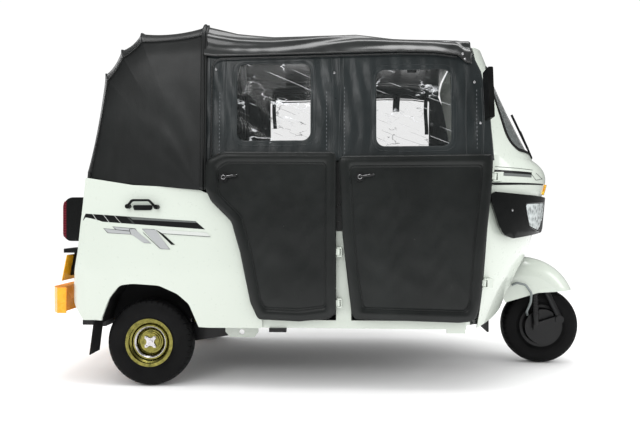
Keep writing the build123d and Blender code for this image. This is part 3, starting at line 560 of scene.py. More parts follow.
def roofSheet():
    # x along the roof, angle across it from one hem to the other; the ridge height follows roofLine, folds run
    # along the shoulders, and the cloth bunches at the front hem
    x = np.linspace(roofLine[0, 0], roofLine[-1, 0], 121)[:, None]
    top = ridgeHeight(x)
    foot = canopyCloth["foot"]
    start = np.arcsin(((hemHeight(x) - foot) / (top - foot)) ** (canopyCloth["squareness"] / 2))
    across = np.linspace(0, 1, 161)[None, :]
    y, height = archSection(spread(start, 161), top, foot)
    edge = np.abs(across - 0.5) * 2
    shoulder = np.exp(-((edge - 0.86) / 0.09) ** 2)
    wave = 0.0040 * np.sin(edge * 62 + 2.2 * np.sin(x * 5.3) + x * 3) * shoulder
    ripple = 0.002 * np.sin(x * 52 + 1.3 * np.sin(x * 17)) * edge ** 20
    dent = -0.010 * np.sin(np.pi * (x - roofLine[-1, 0]) / 0.63) ** 2 * (1 - edge ** 2)
    bunch = 0.005 * np.sin(edge * 40 + x * 60) * np.clip((x - 0.52) / 0.14, 0, 1) * shoulder
    flare = 0.006 * np.clip((edge - 0.94) / 0.06, 0, 1)
    y = y + np.sign(y) * (wave + ripple + bunch + flare)
    z = foot + height + dent + 0.6 * wave
    return surfaceMesh("canopyRoof", spots(x, y, z), "canopyVinyl")


def hoodPoint(steps, angle, out=0.0):
    # hoops that fan out from the ridge plane to the hood's back hem; between bows the cloth hangs in by the sag
    low = np.minimum(steps.astype(int), len(hoodLine) - 2)
    part = (steps - low)[:, None]
    line = hoodLine[low] * (1 - part) + hoodLine[low + 1] * part
    span = np.minimum(low, 3)
    share = np.clip(steps - span, 0, 1)
    hang = (np.array(canopyCloth["sag"])[span] * np.sin(np.pi * share) ** 0.7
            - canopyCloth["peak"] * np.exp(-(share / 0.045) ** 2))
    pivot = np.array([roofLine[-1, 0], canopyCloth["foot"]])
    reach = np.linalg.norm(line - pivot, axis=1)[:, None]
    bearing = np.arctan2(line[:, 1] - pivot[1], line[:, 0] - pivot[0])[:, None]
    y, height = archSection(angle, reach, 0.0)
    rise = np.clip(height / reach, 0, 1)
    crease = np.sin(np.pi * rise) * np.abs(np.cos(angle)) ** 0.3
    slack = np.exp(-((bearing - 2.0) / 0.35) ** 2) * np.exp(-((height - 0.25) / 0.16) ** 2)
    fold = (canopyCloth["fold"] + canopyCloth["slack"] * slack) * np.sin(bearing * 17 + 2.5 * np.sin(height * 7))
    fold = fold * crease - 0.003 * np.sin(np.pi * rise)
    along = height - hang[:, None] * rise ** 10 + out
    x = pivot[0] + along * np.cos(bearing)
    z = pivot[1] + along * np.sin(bearing)
    return spots(x, y + np.sign(y) * (fold + out), z)


def hoodSheet():
    # steps along the back line, angle over each hoop; the foot of its sides runs straight to the back hem
    steps = np.linspace(0, len(hoodLine) - 1, 226)
    angle = spread(0.0, 151) + 0 * steps[:, None]
    return surfaceMesh("canopyHood", hoodPoint(steps, angle), "hoodVinyl")


def sheetArea(piece):
    return sum(face.area for face in piece.data.polygons)


roof, hood = outward(roofSheet()), outward(hoodSheet())
roofArea, hoodArea = sheetArea(roof), sheetArea(hood)
for piece, node in ((roof, "canopy_roof"), (hood, "canopy_rear")):
    thickened(piece, canopyCloth["thickness"])
    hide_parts(node)
    onBody(piece, "chassis")

# piped seams where the hood's side panels meet its back, its rolled front hem, the roof's side hems, and the
# dark binding round the curtain's rounded top rear corner
piping, hems = [], []
seamAngle = math.asin(canopyCloth["seam"] ** (canopyCloth["squareness"] / 2))
for turn in (seamAngle, math.pi - seamAngle):
    steps = np.linspace(0, 4.9, 160)
    path = hoodPoint(steps, np.full((len(steps), 1), turn), 0.0036)[:, 0]
    piping.append(tubeSurface(path, 0.0034, "bindingVinyl"))
radius = canopyCloth["bindingRadius"]
front = np.linspace(canopyCloth["bindingBack"] + radius, 0.60, 90)
top = hemHeight(front) - 0.014
turn = np.linspace(math.pi, math.pi / 2, 24)[1:-1]
bindingX = np.concatenate([np.full(60, front[0] - radius), front[0] + radius * np.cos(turn), front])
bindingZ = np.concatenate([np.linspace(0.98, top[0] - radius, 60), top[0] - radius + radius * np.sin(turn), top])
hemX = np.linspace(0.664, -0.590, 120)
for side in (-1, 1):
    for x, z, proud, thick in ((hemX, hemHeight(hemX), 0.006, 0.0042), (bindingX, bindingZ, 0.004, 0.0036)):
        piping.append(tubeSurface(spots(x, side * (wallY(x, z) + proud), z), thick, "bindingVinyl"))
    rise = np.arcsin(np.linspace(0.0, 0.975, 60)[:, None] ** (canopyCloth["squareness"] / 2))
    path = hoodPoint(np.full(60, 0.01), rise if side > 0 else math.pi - rise, 0.002)[:, 0]
    hems.append(tubeSurface(path + [0.006, 0, 0], 0.010, "hoodVinyl"))
    hems.append(tubeSurface(path + [0.020, -side * 0.002, 0], 0.0055, "hoodVinyl"))
onBody(joined("canopyPiping", piping), "chassis")
onBody(joined("hoodHems", hems), "chassis")
print("canopy made")


# Side curtains: windows are (middle x, middle z, half length, half height); seams x, low, high, width;
# stitches x, low, high
curtain = {
    "back": -0.586, "split": 0.068, "foot": 1.062, "top": 1.60, "inset": 0.012, "wrinkle": 0.0030, "corner": 0.045,
    "leftTop": 1.592,
    "windows": [(-0.254, 1.3415, 0.179, 0.1875), (0.3995, 1.309, 0.1785, 0.185)],
    "seams": [(0.021, 1.07, 1.565, 0.010), (0.058, 1.07, 1.565, 0.014), (-0.484, 1.08, 1.55, 0.007),
              (-0.548, 1.07, 1.55, 0.016), (0.640, 1.07, 1.50, 0.008), (0.716, 1.07, 1.40, 0.012)],
    "stitches": [(-0.005, 1.10, 1.40), (0.0785, 1.10, 1.42), (-0.5106, 1.10, 1.40), (0.690, 1.12, 1.40)],
    "studs": [(0.6255, 1.556), (0.634, 1.530), (0.680, 1.426), (0.706, 1.235), (0.031, 1.478), (-0.53, 1.50)],
    "straps": [(-0.398, 1.375, 1.60, 7.5), (0.588, 1.33, 1.585, 7.5), (0.398, 1.478, 1.59, 13.5)],
}


def roundedRadius(angle, halfX, halfZ, corner):
    # distance from a rounded rectangle's middle to its edge at an angle: the box's, less the corner's loss
    c, s = np.abs(np.cos(angle)), np.abs(np.sin(angle))
    box = np.minimum(halfX / np.maximum(c, 1e-6), halfZ / np.maximum(s, 1e-6))
    cx, cz = halfX - corner, halfZ - corner
    along = c * cx + s * cz
    arc = along + np.sqrt(np.maximum(along ** 2 - (cx ** 2 + cz ** 2 - corner ** 2), 0))
    return np.where((box * c > cx) & (box * s > cz), np.minimum(box, arc), box)


def rayToOutline(centre, angle, corners):
    # distance from a point to an outline round it along each angle: the least positive crossing of its edges
    nearest = np.full(angle.shape, 9.0)
    direction = np.stack([np.cos(angle), np.sin(angle)], -1)
    for a, b in zip(corners, corners[1:] + corners[:1]):
        start = np.array(a, float) - centre
        edge = np.array(b, float) - np.array(a, float)
        cross = direction[:, 0] * edge[1] - direction[:, 1] * edge[0]
        safe = np.where(np.abs(cross) > 1e-9, cross, 1)
        hit = (start[0] * edge[1] - start[1] * edge[0]) / safe
        place = (start[0] * direction[:, 1] - start[1] * direction[:, 0]) / safe
        good = (np.abs(cross) > 1e-9) & (hit > 0) & (place > -1e-6) & (place < 1 + 1e-6)
        nearest = np.minimum(nearest, np.where(good, hit, 9.0))
    return nearest


def outlineAngles(centre, corners, count=40):
    # angles round a point, with every outline corner hit exactly
    marks = sorted(math.atan2(z - centre[1], x - centre[0]) for x, z in corners)
    marks.append(marks[0] + 2 * math.pi)
    return np.concatenate([np.linspace(a, b, count, endpoint=False) for a, b in zip(marks, marks[1:])])


def curtainWall(x, z):
    # the curtain's half width: the cloth wall, less its inset, with upright wrinkles that fade at top and foot
    wrinkle = 0.6 * np.sin(x * 95 + 2.2 * np.sin(z * 9)) + 0.4 * np.sin(x * 41 - z * 13)
    wrinkle = curtain["wrinkle"] * (wrinkle + 0.5 * np.sin(x * 23 + z * 31))
    fall = np.clip((z - curtain["foot"]) * 8, 0, 1) * np.clip((curtain["top"] - z) * 8, 0, 1)
    return wallY(x, z) - curtain["inset"] + wrinkle * fall


def curtainCell(window, corners, side, name):
    # rings from the window's rounded edge out to the cell's outline
    x0, z0, halfX, halfZ = window
    centre = np.array([x0, z0])
    angle = outlineAngles(centre, corners)
    inner = roundedRadius(angle, halfX, halfZ, curtain["corner"])
    share = np.linspace(0, 1, 24)[:, None]
    reach = inner * (1 - share) + rayToOutline(centre, angle, corners) * share
    x, z = around(centre, reach, angle)
    return surfaceMesh(name, spots(x, side * curtainWall(x, z), z), "curtainVinyl", wrapV=True)


def clearPane(window, side, name):
    # the clear film in a window, a little puckered, from its middle out to under the binding
    x0, z0, halfX, halfZ = window
    angle = circle(128)
    edge = roundedRadius(angle, halfX + 0.006, halfZ + 0.006, curtain["corner"])
    share = np.linspace(0.002, 1, 30)[:, None]
    x, z = around((x0, z0), edge * share, angle)
    slant = x * 0.8 + z * 0.6
    pucker = 0.0035 * np.sin(slant * 34 + 2 * np.sin(z * 11)) * np.sin(z * 13 + x * 7) * (1 - share ** 4)
    y = side * (wallY(x, z) - curtain["inset"] - 0.002 + pucker)
    return surfaceMesh(name, spots(x, y, z), "clearVinyl", wrapV=True)


def welt(x, z, side, width, height, closed=True):
    # a flat welt carried along a line on the curtain wall: (across, out) follow a half-round profile
    ahead = unitSteps(np.stack([x, z], -1), closed)
    turn = np.linspace(0, math.pi, 9)[:, None]
    offset = np.cos(turn) * width / 2
    px = x + offset * ahead[:, 1]
    pz = z - offset * ahead[:, 0]
    py = side * (curtainWall(px, pz) + np.sin(turn) * height - 0.001)
    return outward(surfaceMesh("welt", spots(px, py, pz), "curtainVinyl", wrapV=closed))


split, back, foot, top = (curtain[key] for key in ("split", "back", "foot", "top"))
cells = [
    (curtain["windows"][0], [(back, foot), (split, foot), (split, top), (back, top)]),
    (curtain["windows"][1], [(split, foot), (0.768, foot), (0.748, 1.308), (0.712, 1.476), (0.655, 1.595),
                             (split, top)]),
]
curtainSheets, paneSheets, welts, stitches, studs, straps = [], [], [], [], [], []
for sideName, side in sides:
    for number, (window, corners) in enumerate(cells):
        if side > 0:  # the left windows reach up under the roof's hem
            low, long = window[1] - window[3], 0.018 * number
            window = (window[0] + long, (low + curtain["leftTop"]) / 2, window[2] + long,
                      (curtain["leftTop"] - low) / 2)
        curtainSheets.append(outward(curtainCell(window, corners, side, f"curtain{sideName.title()}{number}")))
        paneSheets.append(clearPane(window, side, f"pane{sideName.title()}{number}"))
        x0, z0, halfX, halfZ = window
        angle = outlineAngles(np.array([x0, z0]), corners)
        edge = roundedRadius(angle, halfX, halfZ, curtain["corner"])
        for grow, width in ((0.0, 0.012), (0.020, 0.004)):
            welts.append(welt(*around((x0, z0), edge + grow, angle), side, width, 0.0022))
    for x, low, high, width in curtain["seams"]:
        z = np.linspace(low, high, 60)
        welts.append(welt(x + 0.003 * np.sin(z * 14 + x * 30), z, side, width, 0.0028, closed=False))
    for x, low, high in curtain["stitches"]:
        z = np.arange(low, high, 0.019)
        row = spots(x, side * (curtainWall(x, z) - 0.0002), z)
        stitches.append(domes(row, (0.0012, 0.005, 0.0012), "thread", side))
    x, z = np.array(curtain["studs"]).T
    proud = np.where(z > 1.515, 0.008 + curtain["inset"], 0.0)
    row = spots(x, side * (curtainWall(x, z) + proud), z)
    studs.append(domes(row, (0.0065, 0.0065, 0.004), "steel", side))
    for x, low, high, wide in curtain["straps"]:
        z = np.linspace(low, high, 24)
        path = spots(x + 0.004 * np.sin(z * 20), side * (wallY(x, z) - 0.032), z)
        straps.append(tubeSurface(path, 0.0016, "seatVinyl", wide=wide, edges=12))
for piece in curtainSheets:
    area = sheetArea(piece)
    onBody(thickened(piece, 0.0018), "chassis")
    area / 0.60
for piece in paneSheets:
    onBody(piece, "chassis")
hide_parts("side_curtains")
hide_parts("window_panes")
onBody(joined("curtainWelts", welts), "chassis")
onBody(joined("curtainStitches", stitches), "chassis")
onBody(joined("snapStuds", studs), "chassis")
onBody(joined("curtainStraps", straps), "chassis")
for piece, width, area in ((roof, 1.263, roofArea), (hood, 1.90, hoodArea)):
    area / width
print("curtains made")


# Door covers: how far the rim puffs out, how far the cover stands off the middle plane, and the piping's radius;
# then each door's outer edge and raised field with their corner radii, and the point that the rings go round
cover = {"puff": 0.0085, "base": 0.6605, "piping": 0.0030}
doorShapes = {
    "front": {
        "edge": [(0.054, 1.080), (0.752, 1.084), (0.744, 0.923), (0.716, 0.669), (0.695, 0.409), (0.672, 0.330),
                 (0.601, 0.322), (0.130, 0.335), (0.114, 0.358), (0.096, 0.507), (0.072, 0.720)],
        "edgeRadii": [0.026, 0.016, 0.06, 0.2, 0.1, 0.04, 0.06, 0.01, 0.01, 0.1, 0.3],
        "field": [(0.104, 1.034), (0.704, 1.036), (0.697, 0.925), (0.668, 0.672), (0.650, 0.420), (0.634, 0.372),
                  (0.165, 0.382), (0.143, 0.512), (0.122, 0.724)],
        "fieldRadii": [0.022, 0.014, 0.06, 0.2, 0.06, 0.03, 0.02, 0.1, 0.3], "middle": (0.40, 0.70),
    },
    "rear": {
        "edge": [(-0.562, 1.066), (-0.485, 1.102), (0.038, 1.098), (0.038, 0.360), (0.006, 0.335),
                 (-0.130, 0.322), (-0.319, 0.330), (-0.354, 0.405), (-0.402, 0.637), (-0.443, 0.781),
                 (-0.539, 0.877), (-0.566, 0.935)],
        "edgeRadii": [0.04, 0.06, 0.022, 0.02, 0.025, 0.06, 0.026, 0.06, 0.2, 0.06, 0.06, 0.04],
        "field": [(-0.510, 1.026), (-0.472, 1.054), (-0.008, 1.050), (-0.008, 0.388), (-0.130, 0.372),
                  (-0.288, 0.378), (-0.310, 0.418), (-0.356, 0.652), (-0.400, 0.806), (-0.506, 0.912)],
        "fieldRadii": [0.03, 0.04, 0.018, 0.02, 0.06, 0.026, 0.06, 0.2, 0.06, 0.05], "middle": (-0.20, 0.76),
    },
}


def roundedOutline(corners, radii, count=14):
    # each corner becomes a parabola between two points a tangent length away from it
    corners = np.array(corners, float)
    before, after = np.roll(corners, 1, 0) - corners, np.roll(corners, -1, 0) - corners
    before, after = (v / np.linalg.norm(v, axis=1)[:, None] for v in (before, after))
    half = np.arccos(np.clip((before * after).sum(1), -1, 1)) / 2
    tangent = (np.array(radii) / np.tan(half))[:, None, None]
    s = np.linspace(0, 1, count)[None, :, None]
    start, end = corners[:, None] + before[:, None] * tangent, corners[:, None] + after[:, None] * tangent
    line = ((1 - s) ** 2 * start + 2 * s * (1 - s) * corners[:, None] + s ** 2 * end).reshape(-1, 2)
    line = np.vstack([line, line[:1]])
    run = np.concatenate([[0], np.cumsum(np.linalg.norm(np.diff(line, axis=0), axis=1))])
    even = np.linspace(0, run[-1], 1600, endpoint=False)
    return np.stack([np.interp(even, run, line[:, 0]), np.interp(even, run, line[:, 1])], -1)


def polarRadius(outline, middle, angle):
    # the outline's distance from the middle along each angle
    offset = outline - np.array(middle)
    bearing, reach = np.arctan2(offset[:, 1], offset[:, 0]), np.linalg.norm(offset, axis=1)
    order = np.argsort(bearing)
    return np.interp(angle, bearing[order], reach[order], period=2 * math.pi)


def doorCover(shape, side):
    # rings about the middle: a creased flat field, a padded rim bulging as a sine between its two piped edges, the
    # turned edge, and a flat lining
    middle = shape["middle"]
    edgeLine = roundedOutline(shape["edge"], shape["edgeRadii"])
    fieldLine = roundedOutline(shape["field"], shape["fieldRadii"])
    angle = np.linspace(-math.pi, math.pi, 320, endpoint=False)[None, :]
    rim, field = (polarRadius(line, middle, angle[0])[None, :] for line in (edgeLine, fieldLine))
    inner = np.linspace(0.004, 1, 38)[:, None]
    padded = np.linspace(0, 1, 16)[1:, None]
    lining = np.linspace(1, 0.004, 8)[:, None]
    puff = cover["puff"] * np.sin(np.pi * padded) ** 0.6
    reach = np.concatenate([inner * field, field + (rim + 0.001 - field) * padded, (rim + 0.001) * lining])
    x, z = around(middle, reach, angle)
    drape = x * 0.55 + z
    crease = 0.0016 * np.sin(drape * 8.5 + 2.0 * np.sin(x * 5 - z * 4))
    crease = crease + 0.0006 * np.sin(x * 27 + 3 * np.sin(z * 11))
    crease = crease + 0.0003 * np.sin(z * 53 - x * 29 + 2 * np.sin(x * 31))
    settle = np.concatenate([1 - inner ** 6, 0.35 * np.sin(np.pi * padded), 0 * lining])
    base = np.concatenate([cover["base"] - 0.0012 + 0 * inner, cover["base"] + puff, 0.6373 + 0 * lining])
    y = side * (base + crease * settle)
    piece = outward(surfaceMesh("doorCover", spots(x, y, z), "doorVinyl", wrapV=True))
    trims = []
    for line, out, radius in ((fieldLine, 0.0008, cover["piping"]), (edgeLine, -0.002, 0.0026)):
        x, z = around(middle, polarRadius(line, middle, angle[0]), angle[0])
        path = spots(x, side * (cover["base"] + out), z)
        trims.append(tubeSurface(path, radius, "doorVinyl", closed=True, edges=8))
    return piece, trims


for place, shape in doorShapes.items():
    for sideName, side in sides:
        piece, trims = doorCover(shape, side)
        piece.name = f"{place}DoorCover_{sideName}"
        onBody(piece, f"{place}_door_{sideName}")
        onBody(joined(f"{place}DoorPiping_{sideName}", trims), f"{place}_door_{sideName}")
print("door covers made")


# Films stuck on the paint: four corners (x, z) each, in millimetres
rearFilms = [
    ("inkFilm", [(-1160.6, 785.2), (-574.6, 742.8), (-619.7, 781.2), (-1147.1, 816.9)]),
    ("greyFilm", [(-937.3, 801.8), (-921.5, 789.1), (-611.2, 773.2), (-620.7, 781.7)]),
    ("greyFilm", [(-949, 803.7), (-911, 765.5), (-908, 765.3), (-946, 803.5)]),
    ("silverFilm", [(-1058.7, 746.4), (-1037.4, 726.6), (-923.9, 719.2), (-934.9, 732.9)]),
    ("silverFilm", [(-1014.8, 754.5), (-997.9, 741.8), (-898.9, 732.9), (-910.9, 745.2)]),
    ("silverFilm", [(-934.9, 742.3), (-927.7, 720.2), (-869.2, 679.7), (-833.3, 678.4)]),
    ("silverFilm", [(-936, 742.6), (-840, 678.6), (-833.3, 678.4), (-910.9, 745.2)]),
    ("silverFilm", [(-871.6, 743.8), (-788.8, 652.2), (-743.5, 649.9), (-810.3, 741.1)]),
    ("inkFilm", [(-871.6, 727.6), (-789.3, 652.2), (-786, 652.1), (-868.4, 727.4)]),
    ("inkFilm", [(-808.4, 741.1), (-734.4, 670.2), (-717.2, 670.2), (-777.8, 724.7)]),
    ("paleFilm", [(-808.4, 742), (-777.8, 723.7), (-548.6, 709.1), (-566.1, 727.3)]),
    ("greyFilm", [(-779, 724.4), (-777.8, 721.5), (-547.4, 706.9), (-548.8, 709.8)]),
]
slashes = [(-1114.2, 814.5, -1088.1, 780), (-1061.5, 811.2, -1033.1, 775.8), (-1009, 807.9, -976.3, 771.6)]
rearFilms += [("paleFilm", [(a, b), (c, d), (c + 2.6, d - 0.2), (a + 2.6, b - 0.2)]) for a, b, c, d in slashes]


def rimmed(films, kind, rim):
    # each film of one kind lies on a slightly larger dark one
    whole = []
    for finish, corners in films:
        if finish == kind:
            away = np.sign(np.subtract(corners, np.mean(corners, axis=0)))
            whole.append(("inkFilm", [tuple(corner) for corner in np.add(corners, away * rim)]))
        whole.append((finish, corners))
    return whole


rearFilms = rimmed(rearFilms, "silverFilm", (3.0, 1.6))
noseFilms = [
    ("inkFilm", [(776, 1036.2), (776, 1033.8), (996, 1028.8), (996, 1031.2)]),
    ("inkFilm", [(774, 1021), (771, 1007), (987, 1006), (989, 1018)]),
    ("greyFilm", [(771, 1007), (768, 994), (985, 992), (987, 1006)]),
    ("inkFilm", [(981, 1014.5), (979, 1012.5), (1016, 980), (1018, 982.4)]),
    ("inkFilm", [(1016, 982.2), (1018, 980), (1068, 990), (1068, 992.2)]),
    ("inkFilm", [(1068, 990), (1070, 992), (1021, 1017), (1019, 1015)]),
    ("inkFilm", [(1068, 990), (1068, 992.4), (1081, 993.5), (1081, 991.5)]),
    ("inkFilm", [(757, 961), (754, 948), (1085, 960.6), (1087, 967.3)]),
]


def filmPatch(corners, side, target, finish, proud):
    # bilinear blend of four corners on a grid, dropped along y onto the panel
    u, v = np.linspace(0, 1, 40)[:, None, None], np.linspace(0, 1, 5)[None, :, None]
    a, b, c, d = (np.array(corner, float) / 1000 for corner in corners)
    flat = (1 - u) * (1 - v) * a + (1 - u) * v * b + u * v * c + u * (1 - v) * d
    points = spots(flat[..., 0], side * 0.70, flat[..., 1])
    piece = surfaceMesh("film", points, finish)
    return applied(piece, "SHRINKWRAP", target=nodes[target], wrap_method="PROJECT", use_project_y=True,
                   use_positive_direction=side < 0, use_negative_direction=side > 0, offset=proud)


for target, films in (("rear_tub", rearFilms), ("front_cowl", noseFilms)):
    for finish in dict.fromkeys(kind for kind, _ in films):
        group = [filmPatch(corners, side, target, finish, 0.0005 + 0.0001 * order)
                 for side in (-1, 1) for order, (kind, corners) in enumerate(films) if kind == finish]
        onBody(joined(f"{target.replace('_', '')}{finish}", group), "chassis")
print("films placed")


# Small bright fittings, as (x, z) places: painted highlights on the dark door locks as thin steel rings and
# levers, the headlamp's screw and the nuts of the front hub
fittings = {"locks": [(0.150, 0.985, "front_door"), (-0.480, 0.985, "rear_door")], "lockGlintRing": 0.009,
            "screw": (0.862, 0.832),
            "nuts": [(1.095, 0.228), (1.118, 0.163), (1.163, 0.250), (1.183, 0.184)]}
lensRim = roundedOutline([(0.941, 0.862), (1.086, 0.869), (1.084, 0.806), (1.036, 0.733), (0.970, 0.758),
                          (0.953, 0.810)], [0.010, 0.014, 0.030, 0.014, 0.014, 0.040])[::16]
for x, z, door in fittings["locks"]:
    for sideName, side in sides:
        # painted highlights: a bright steel ring and lever stand for the glints on the dark lock
        ringX, ringZ = around((x, z), fittings["lockGlintRing"], circle(40))
        ring = spots(ringX, side * 0.6745, ringZ)
        share = np.linspace(0, 1, 12)
        lever = spots(x + 0.012 + 0.054 * share, side * (0.6765 + 0.002 * share), z + 0.006 + 0.006 * share)
        glints = joined(f"{door}LockGlint_{sideName}", [tubeSurface(ring, 0.0014, "steel", closed=True),
                                                       tubeSurface(lever, 0.0011, "steel")])
        onBody(glints, f"{door}_{sideName}")


def castOnto(target, places, side, start=0.8):
    # where lines along y from outside first meet a CAD surface; a place that misses keeps the last y met
    found, y = [], 0.0
    for x, z in places:
        hit, spot, normal, index = nodes[target].ray_cast(Vector((x, side * start, z)), Vector((0, -side, 0)))
        y = spot.y if hit else y
        found.append((x, y, z))
    return np.array(found)


for sideName, side in sides:
    places = [(0.94 + (x - 0.94) * 1.03 - 0.004, 0.80 + (z - 0.80) * 1.08) for x, z in lensRim]
    bezel = castOnto("headlamp_housings", places, side)
    bezel = bezel[np.abs(bezel[:, 1]) > 0.1]
    bezel = tubeSurface(bezel, 0.0035, "glossBlack", closed=True, name=f"lampBezel_{sideName}")
    onBody(bezel, "chassis")
    screws = castOnto("headlamp_housings", [fittings["screw"]], side)
    onBody(domes(screws, (0.005, 0.005, 0.003), "steel", side, f"lampScrew_{sideName}"), "chassis")
nuts = [domes(castOnto("front_rim", fittings["nuts"], side), (0.0055, 0.0055, 0.004), "steel", side)
        for side in (-1, 1)]
onBody(joined("frontHubNuts", nuts), "front_wheel")
print("fittings placed")


# Tyres: the depth of the tread's grooves and how many blocks go round
tread = {"grooveDepth": 0.0055, "blocks": 44}


def tyreSurface(name, centre, body, node):
    # a profile turned about the axle; zigzag grooves and shoulder cuts sink the crown by the groove's depth
    profile = np.array([(-0.0437, 0.1043), (-0.0440, 0.118), (-0.0505, 0.132), (-0.0530, 0.150), (-0.0530, 0.165),
                        (-0.0515, 0.180), (-0.0470, 0.1915), (-0.0420, 0.1968), (-0.0300, 0.2020),
                        (-0.0150, 0.2050), (0.0, 0.2058)])
    profile = np.vstack([profile, (profile * [-1, 1])[-2::-1]])
    along = np.linspace(0, len(profile) - 1, 95)
    across = np.interp(along, np.arange(len(profile)), profile[:, 0])[:, None]
    radius = np.interp(along, np.arange(len(profile)), profile[:, 1])[:, None]
    turn = circle(484)[None, :]
    zigzag = 0.004 * (2 / math.pi) * np.arcsin(np.sin(turn * tread["blocks"]))
    middles = np.array([-0.022, 0.0, 0.022])[:, None, None]
    grooves = np.clip(1.6 - np.abs(across - middles - zigzag) / 0.0016, 0, 1).max(0)
    cuts = np.clip(1.5 - np.abs(((turn * tread["blocks"] / 2 / math.pi) % 1) - 0.5) * 16, 0, 1)
    shoulder = np.clip((np.abs(across) - 0.031) / 0.003, 0, 1) * np.clip((0.0505 - np.abs(across)) / 0.003, 0, 1)
    crown = np.clip((radius - 0.186) / 0.004, 0, 1)
    depth = tread["grooveDepth"] * np.maximum(grooves, cuts * shoulder) * crown
    rings = 0.0006 * np.sin((radius - 0.12) * 900) * np.clip(1 - np.abs(radius - 0.150) / 0.02, 0, 1)
    reach = radius - depth + rings
    points = spots(centre[0] + reach * np.sin(turn), centre[1] + across, centre[2] + reach * np.cos(turn))
    piece = outward(surfaceMesh(name, points, "tyreRubber", wrapV=True))
    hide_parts(node)
    onBody(piece, body)


for body, node in (("front_wheel", "front_tyre"), ("rear_wheel_right", "rear_right_tyre"),
                   ("rear_wheel_left", "rear_left_tyre")):
    low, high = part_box(node)
    tyreSurface(node.replace("_", ""), [(a + b) / 2 for a, b in zip(low, high)], body, node)
print("tyres made")


# Cushions: low and high corners of each pad before it is blown up, and how many sewn channels it has; then the
# mesh's grain, how far it may swell, the air's pressure and how deep the channels are
cushion = {
    "driver_cushions": [((0.115, -0.252, 0.570), (0.522, 0.252, 0.640), 3),
                        ((0.100, -0.252, 0.672), (0.146, 0.252, 0.950), 3)],
    "bench_cushions": [((-0.968, -0.528, 0.612), (-0.482, 0.528, 0.690), 5),
                       ((-1.074, -0.528, 0.732), (-0.974, 0.528, 1.166), 5)],
    "voxel": 0.006, "cap": 0.022, "pressure": 4.0, "channel": 0.005,
}


def verticesOf(piece):
    flat = np.empty(len(piece.data.vertices) * 3)
    piece.data.vertices.foreach_get("co", flat)
    return flat.reshape(-1, 3)


def blownUp(piece):
    # remeshed, swollen by air pressure as cloth, no point further than the cap from where it started
    applied(piece, "REMESH", mode="VOXEL", voxel_size=cushion["voxel"], use_smooth_shade=True)
    start = verticesOf(piece)
    modifier = piece.modifiers.new("cloth", "CLOTH")
    settings = modifier.settings
    settings.use_pressure = True
    settings.uniform_pressure_force = cushion["pressure"]
    settings.effector_weights.gravity = 0
    settings.quality = 4
    modifier.collision_settings.use_collision = False
    modifier.point_cache.frame_start, modifier.point_cache.frame_end = 1, 20
    for frameNumber in range(1, 21):
        bpy.context.scene.frame_set(frameNumber)
    bpy.context.view_layer.objects.active = piece
    bpy.ops.object.modifier_apply(modifier=modifier.name)
    bpy.context.scene.frame_set(1)
    move = verticesOf(piece) - start
    length = np.linalg.norm(move, axis=1)[:, None]
    move *= np.minimum(1, cushion["cap"] / np.maximum(length, 1e-9))
    piece.data.vertices.foreach_set("co", (start + move).ravel())
    piece.data.update()
    return piece


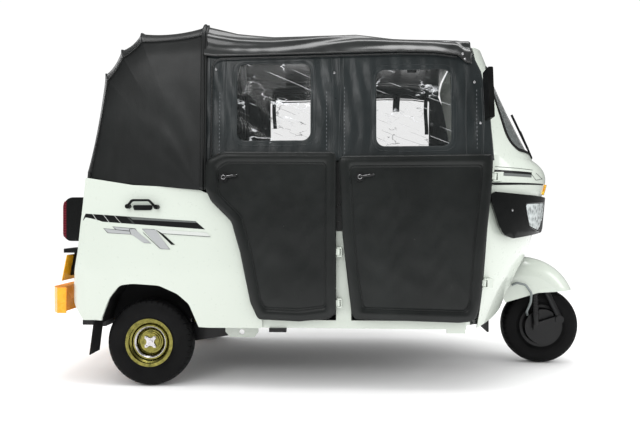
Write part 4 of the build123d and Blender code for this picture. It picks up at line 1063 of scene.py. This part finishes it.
def pillow(name, low, high, channels):
    # superellipsoid pad: powers of sine and cosine of two angles, a crowned face and pulled-in sides; blown up,
    # kept in its box, then sewn along lines that sink by the channel's depth
    low, high = np.array(low), np.array(high)
    middle, half = (low + high) / 2, (high - low) / 2
    u = np.linspace(-math.pi / 2, math.pi / 2, 60)[:, None]
    v = np.linspace(-math.pi, math.pi, 120, endpoint=False)[None, :]
    thin = int(np.argmin(half))
    wide = [axis for axis in range(3) if axis != thin]
    parts = [None, None, None]
    parts[wide[0]] = np.cos(u) ** 0.5 * np.sign(np.cos(v)) * np.abs(np.cos(v)) ** 0.32
    parts[wide[1]] = np.cos(u) ** 0.5 * np.sign(np.sin(v)) * np.abs(np.sin(v)) ** 0.32
    parts[thin] = np.sign(np.sin(u)) * np.abs(np.sin(u)) ** 0.7 + 0 * v
    points = np.stack([middle[axis] + half[axis] * parts[axis] for axis in range(3)], -1)
    piece = outward(surfaceMesh(name, points, "seatVinyl", wrapV=True))
    blownUp(piece)
    points = verticesOf(piece)
    room = half + np.where(np.arange(3) == thin, 0.009, 0.010)
    away = points - middle
    limit = room * (1 - 0.06 * (1 - np.abs(away) / room).clip(0, 1))
    points = middle + np.sign(away) * np.minimum(np.abs(away), limit)
    sewn = np.abs(((points[:, 1] - low[1]) / (high[1] - low[1]) * channels) % 1 - 0.5)
    groove = cushion["channel"] * np.exp(-((0.5 - sewn) * (high[1] - low[1]) / channels / 0.006) ** 2)
    points[:, thin] -= np.sign(points[:, thin] - middle[thin]) * groove
    piece.data.vertices.foreach_set("co", points.ravel())
    piece.data.update()
    return onBody(piece, "chassis")


for node in ("driver_cushions", "bench_cushions"):
    for number, (low, high, channels) in enumerate(cushion[node]):
        pad = pillow(f"{node.split('_')[0]}Pad{number}", low, high, channels)
        if number == 0:
            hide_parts(node)
print("cushions made")


floor = surfaceMesh("floor", np.array([[(-9, -7, 0), (-9, 9, 0)], [(9, -7, 0), (9, 9, 0)]], float), "floorPaper")

# Light: a white backdrop for the camera, a dimmer one for what mirrors it, and soft boxes for the highlights
studio = {"backdrop": 1.05, "diffuse": 1.14, "mirrored": 0.16}
lamps = [
    ("topSoft", (0.2, -0.6, 4.4), (4.5, 1.6), 110), ("sideSoft", (-1.8, -5.2, 3.4), (2.6, 1.2), 50),
    ("frontSoft", (4.8, -1.6, 2.6), (1.6, 2.2), 40), ("backSoft", (-4.5, 1.5, 3.2), (1.6, 2.2), 40),
]


def areaLamp(name, place, size, power):
    data = bpy.data.lights.new(name, "AREA")
    data.energy = power
    data.shape = "RECTANGLE"
    data.size, data.size_y = size
    lamp = bpy.data.objects.new(name, data)
    lamp.location = place
    lamp.rotation_euler = (Vector((0, 0, 0.8)) - Vector(place)).to_track_quat("-Z", "Y").to_euler()
    bpy.context.scene.collection.objects.link(lamp)


for lamp in lamps:
    areaLamp(*lamp)
world = bpy.data.worlds.new("studio")
bpy.context.scene.world = world
world.use_nodes = True
worldNodes = world.node_tree
background = worldNodes.nodes["Background"]
background.inputs["Color"].default_value = (1, 1, 1, 1)
path = worldNodes.nodes.new("ShaderNodeLightPath")
seen = Wire(worldNodes, path.outputs["Is Camera Ray"])
clear = Wire(worldNodes, path.outputs["Is Transmission Ray"])
glossy = Wire(worldNodes, path.outputs["Is Glossy Ray"])
plain = (1 - glossy) * studio["diffuse"] + glossy * studio["mirrored"]
direct = (seen + clear).least(1)
feed(worldNodes, background.inputs["Strength"], direct * studio["backdrop"] + (1 - direct) * plain)
bpy.context.scene.view_settings.view_transform = "Standard"

print("scene done")
